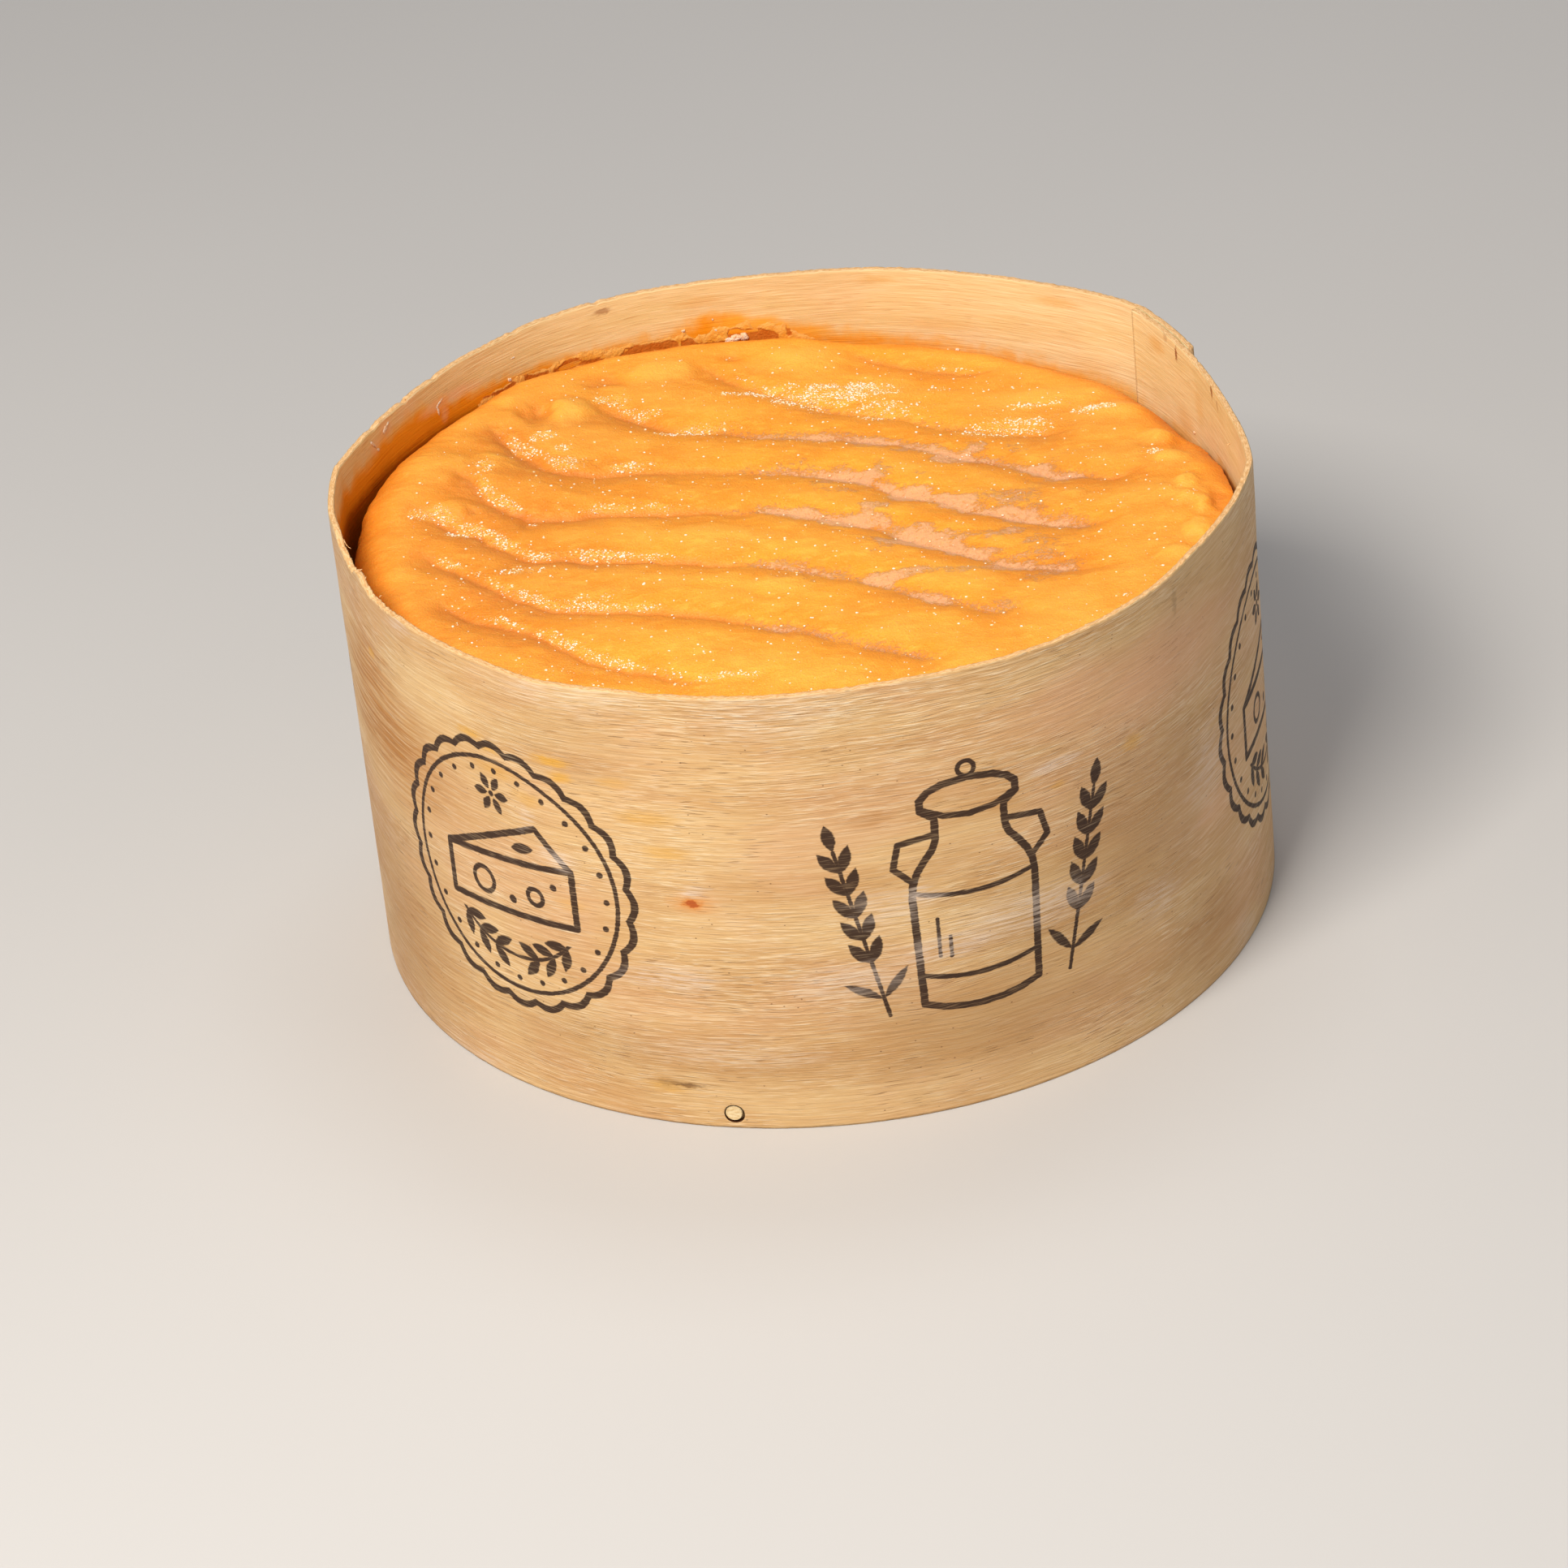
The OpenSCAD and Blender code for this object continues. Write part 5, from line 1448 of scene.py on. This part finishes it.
# The cheese's outline against the back wall in the picture, and the gaps in the stuck rind over it: x, upper y, lower y.
OUTLINE = [(553, 525), (573, 510), (591, 496), (617, 483), (636, 473), (649, 471), (668, 467), (681, 460), (706, 453), (742, 446), (762, 442), (783, 437), (800, 433.5),
           (831, 428), (856, 426), (882, 424.6), (923, 422), (958, 415.7), (984, 416), (1010, 418), (1035, 418), (1073, 423)]
FRINGE = [(560, 0), (585, 2), (600, 7), (622, 11), (640, 13), (680, 15), (715, 19), (745, 16), (775, 18), (800, 16), (830, 15), (842, 24), (855, 15), (868, 17), (880, 22), (900, 25),
          (935, 24), (965, 20), (978, 14), (1000, 6), (1020, 2)]
GAPS = [
    [(594, 489, 491), (606, 485, 488), (618, 480.5, 485), (627, 474, 481), (635, 469.5, 474)],
    [(645, 461, 474), (652, 461.5, 473), (664, 460, 470), (676, 457, 465)],
    [(682, 457, 462), (686, 454, 460), (691, 450, 459), (700, 442, 456), (708, 441, 453), (717, 443.5, 451), (728, 443, 449.5), (738, 441, 448), (743, 443, 446)],
    [(761, 440.5, 444), (767, 434, 443), (773, 428, 441), (782, 425.5, 438), (798, 424, 434), (812, 421.5, 432), (822, 419.5, 431), (831, 419.5, 430), (836, 422, 426)],
    [(840, 420, 428), (846, 418, 430), (853, 418.5, 430), (862, 423, 427)],
    [(862, 423, 426), (876, 423, 426), (884, 420.5, 427), (896, 420, 427)],
    [(897, 407, 426), (902, 404.5, 426), (909, 402.5, 425), (919, 406, 424), (930, 404, 422), (942, 405.5, 420), (955, 410, 418), (959, 412, 416)],
    [(969, 402, 412), (972, 398.5, 414), (975, 404, 412)],
]


def gap_mask(px, py):
    total = np.zeros_like(px)
    for rows in GAPS:
        xs, up, low = (np.array(c, float) for c in zip(*rows))
        u, l = np.interp(px, xs, up), np.interp(px, xs, low)
        ends = smooth((px - xs[0]) / 1.6 + 0.5) * smooth((xs[-1] - px) / 1.6 + 0.5)
        total = np.maximum(total, ends * smooth((py - u) / 2.2 + 0.5) * smooth((l - py) / 2.2 + 0.5))
    return total


def make_stuck_rind():
    """A thin torn skin of cheese that has stayed on the wall at the back."""
    s = np.linspace(173.0, 232.0, 500)
    z = np.linspace(48.2, 57.0, 92)
    S, Z = np.meshgrid(s, z, indexing="ij")
    R = strip_r(S, Z, VENEER) + wave(S, Z)
    wall = polar(S, R, Z)
    px, py = picture(wall)
    px = px + 1.2 * noise(S / 0.5, Z / 0.5, 0, 101) + 0.8 * noise(S / 0.22, Z / 0.22, 0, 102)
    py = py + 1.2 * noise(S / 0.5, Z / 0.4, 5, 103) + 0.8 * noise(S / 0.22, Z / 0.2, 5, 104)
    line = np.interp(px, *zip(*OUTLINE))
    high = np.interp(px, *zip(*FRINGE)) * (1 + 0.30 * noise(S / 1.1, 0.5, 0, 105))
    inside = (py - (line - high)) / 9.0
    ends = smooth((px - 585) / 12) * smooth((1020 - px) / 30)
    body = smooth(inside) * ends
    gap = gap_mask(px, py)
    t = -0.07 + 0.20 * body + 0.05 * body * fbm(S / 0.7, Z / 0.5, 0, 106, 3)
    t = t * (1 - gap) + 0.012 * gap
    deep = smooth((50.2 - Z) / 1.5)
    t = t * (1 - deep) - 0.05 * deep
    front = polar(S, R - t, Z)
    back = polar(S, R + 0.25, Z)
    n, m = S.shape
    co = np.concatenate([front.reshape(-1, 3), back.reshape(-1, 3)])
    idx = np.arange(n * m).reshape(n, m)
    quads = [np.stack([idx[:-1, :-1], idx[:-1, 1:], idx[1:, 1:], idx[1:, :-1]], -1).reshape(-1, 4)]
    quads.append(quads[0][:, ::-1] + n * m)
    per = np.concatenate([idx[:-1, 0], idx[-1, :-1], idx[:0:-1, -1], idx[0, :0:-1]])
    quads.append(np.stack([per, np.roll(per, -1), np.roll(per, -1) + n * m, per + n * m], 1))
    pad = np.zeros(n * m)
    attrs = {"thin": np.concatenate([(1 - smooth(inside * 0.62)).ravel(), pad]), "gap": np.concatenate([gap.ravel(), pad])}
    build("rind_left_on_wall", co, np.concatenate(quads), [], [M_STUCK], None, attrs, "box")


def dome(rng, n=20, rings=5):
    """A flat bun of unit radius and unit height with an uneven outline, closed below."""
    a = np.arange(n) * math.tau / n
    edge = 1 + 0.18 * np.sin(2 * a + rng.random() * 6) + 0.12 * np.sin(3 * a + rng.random() * 6) + 0.10 * rng.standard_normal(n)
    pts, rows = [], []
    for k in range(1, rings + 1):
        t = k / rings
        r = edge * t
        h = np.sqrt(max(0.0, 1 - t * t)) * (1 + 0.22 * rng.standard_normal(n) * (t < 1)) - 0.15
        rows.append(len(pts) * n + 1 + np.arange(n))
        pts.append(np.stack([r * np.cos(a), r * np.sin(a), h * np.ones(n)], 1))
    co = np.concatenate([[[0, 0, 0.9]]] + pts + [[[0, 0, -0.5]]])
    tris = [np.stack([np.zeros(n, int), rows[0], np.roll(rows[0], -1)], 1), np.stack([rows[-1], np.full(n, len(co) - 1), np.roll(rows[-1], -1)], 1)]
    for p, q in zip(rows[:-1], rows[1:]):
        p2, q2 = np.roll(p, -1), np.roll(q, -1)
        tris += [np.stack([p, q, q2], 1), np.stack([p, q2, p2], 1)]
    return co, np.concatenate(tris)


def bits_on_wall():
    """Crumbs and flakes of cheese on the inside of the wall: place in the picture, half length, half width, turn, thickness."""
    rng = np.random.default_rng(11)
    pts, tris, total = [], [], 0
    for px, py, a, b, turn, thick in (
            (905, 417, 1.25, 0.62, 8, 0.45), (917, 415, 0.75, 0.60, -20, 0.38), (897, 420, 0.60, 0.45, 30, 0.30),
            (842, 408, 0.26, 0.26, 0, 0.20), (882, 407, 0.22, 0.22, 0, 0.18), (878, 394, 0.16, 0.16, 0, 0.12), (628, 468, 0.30, 0.34, 0, 0.22),
            (1180, 431, 0.30, 0.30, 0, 0.25), (1168, 431, 0.20, 0.22, 0, 0.18), (460, 548, 0.9, 0.28, -52, 0.14), (466, 554, 0.45, 0.18, -40, 0.12),
            (476, 527, 0.8, 0.34, 35, 0.12), (474, 532, 0.4, 0.3, 0, 0.10), (540, 506, 0.22, 0.8, 10, 0.10), (541, 497, 0.8, 0.20, 25, 0.08), (1472, 533, 0.30, 0.22, 0, 0.2), (632, 441, 0.3, 0.14, 0, 0.08)):
        s0, z0 = strip_at(px, py, True)
        s0 = s0 / ARC
        co, tri = dome(rng)
        c, d = math.cos(math.radians(turn)), math.sin(math.radians(turn))
        u, v = co[:, 0] * a * c - co[:, 1] * b * d, co[:, 0] * a * d + co[:, 1] * b * c
        # Seen from inside the box, the strip runs to the left.
        ss, zz = s0 - u / ARC, z0 + v
        r = strip_r(ss, zz, VENEER) + wave(ss, zz) - co[:, 2] * thick
        pts.append(polar(ss, r, zz))
        tris.append(tri + total)
        total += len(co)
    build("crumbs_on_wall", np.concatenate(pts), [], np.concatenate(tris), [M_CRUMB], None, None, "box")


def splinters():
    """Slivers of veneer that stand off the rim."""
    rng = np.random.default_rng(5)
    co, quads, att = [], [], []
    for (ax, ay, az_), (bx, by, bz), width, thick in (
            ((423.5, 665, 59.9), (432.5, 676, 58.9), 0.42, 0.12), ((443, 703, 59.6), (446.5, 701.5, 60.1), 0.30, 0.12), ((451, 716, 59.2), (451.5, 711, 59.9), 0.28, 0.12),
            ((468, 736, 59.2), (470.5, 733.5, 59.7), 0.20, 0.10), ((502, 494, 59.6), (499, 492, 60.0), 0.22, 0.1), ((1512, 548, 59.6), (1516, 545, 60.1), 0.2, 0.1)):
        def at(px, py, z):
            d = ray(px, py)
            k = (z - EYE[2]) / d[2]
            return EYE + k * d
        a, b = at(ax, ay, az_), at(bx, by, bz)
        along = (b - a) / np.linalg.norm(b - a)
        out = np.array([a[0], a[1], 0]) / np.hypot(a[0], a[1])
        side = np.cross(along, out)
        side = side / np.linalg.norm(side)
        out = np.cross(side, along)
        n = 9
        base = len(np.concatenate(co)) if co else 0
        ring = []
        for k in range(n):
            t = k / (n - 1)
            w = width * (1 - 0.85 * t ** 2) * (1 + 0.15 * rng.standard_normal()) * 0.5
            h = thick * (1 - 0.6 * t) * 0.5
            centre = a + (b - a) * t + out * 0.15 * math.sin(3 * t) + side * 0.04 * rng.standard_normal()
            co.append(np.array([centre + side * w + out * h, centre - side * w + out * h, centre - side * w - out * h, centre + side * w - out * h]))
            ring.append(base + 4 * k + np.arange(4))
            att.append(np.array([[t * 3, 0.5, 0.3]] * 4))
        for p, q in zip(ring[:-1], ring[1:]):
            quads.append(np.stack([p, np.roll(p, -1), np.roll(q, -1), q], 1))
        quads.append(np.array([ring[0][::-1], ring[-1]]))
    co, att = np.concatenate(co), np.concatenate(att)
    zero = np.zeros(len(co))
    build("splinters_of_rim", co, np.concatenate(quads), [], [M_IN], None, {"strip": att, "grease": zero, "gap_shade": zero, "hole": zero}, "box", flat=True)


make_band()
rind_co, rind_top, rind_wet, rind_h = make_rind()
make_paste()
scatter_grains(rind_co, rind_top, rind_wet, rind_h)
make_stuck_rind()
bits_on_wall()
splinters()

for name, material in (("bottom_disc", board_wood()), ("bottom_pegs", peg_wood()), ("lap_glue", dried_glue())):
    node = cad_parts[name]
    node.data.materials.clear()
    node.data.materials.append(material)

# ---------------------------------------------------------------- floor and light

disc = 96
ringed = [polar(np.linspace(0, 360, disc, endpoint=False), r, -0.02) for r in (80, 400, 1600, 6000)]
pts = np.concatenate([np.array([[0, 0, -0.02]])] + ringed)
faces = [[1 + k * disc + i, 1 + (k + 1) * disc + i, 1 + (k + 1) * disc + (i + 1) % disc, 1 + k * disc + (i + 1) % disc] for k in range(3) for i in range(disc)]
centre = [[0, 1 + i, 1 + (i + 1) % disc] for i in range(disc)]
floor = build("floor", pts, faces, centre, [floor_paint()])

world = bpy.data.worlds.new("studio")
world.use_nodes = True
world.node_tree.nodes["Background"].inputs["Color"].default_value = (0.93, 0.95, 1.0, 1)
world.node_tree.nodes["Background"].inputs["Strength"].default_value = 0.24
scene.world = world


def area(name, az, el, dist, size, power, colour):
    light = bpy.data.lights.new(name, "AREA")
    light.shape = "RECTANGLE"
    light.size, light.size_y = size
    light.energy = power
    light.color = colour
    ob = bpy.data.objects.new(name, light)
    a, e = math.radians(az), math.radians(el)
    at = np.array([math.sin(a) * math.cos(e), -math.cos(a) * math.cos(e), math.sin(e)]) * dist + np.array([0, 0, 0.03])
    back = at - np.array([0, 0, 0.03])
    back = back / np.linalg.norm(back)
    side = np.cross([0, 0, 1], back)
    side = side / np.linalg.norm(side)
    up = np.cross(back, side)
    ob.matrix_world = Matrix(((side[0], up[0], back[0], at[0]), (side[1], up[1], back[1], at[1]), (side[2], up[2], back[2], at[2]), (0, 0, 0, 1)))
    scene.collection.objects.link(ob)
    return ob


area("key", -30, 50, 0.75, (0.30, 0.24), 6.6, (1.0, 0.94, 0.86))
area("fill", 62, 38, 0.95, (0.5, 0.5), 0.50, (1.0, 0.90, 0.86))
area("top", 165, 68, 0.9, (0.4, 0.3), 1.5, (1.0, 0.97, 0.94))

scene.view_settings.view_transform = "Standard"
scene.view_settings.look = "None"
scene.view_settings.exposure = 0.0
scene.view_settings.gamma = 1.0

bpy.context.view_layer.update()
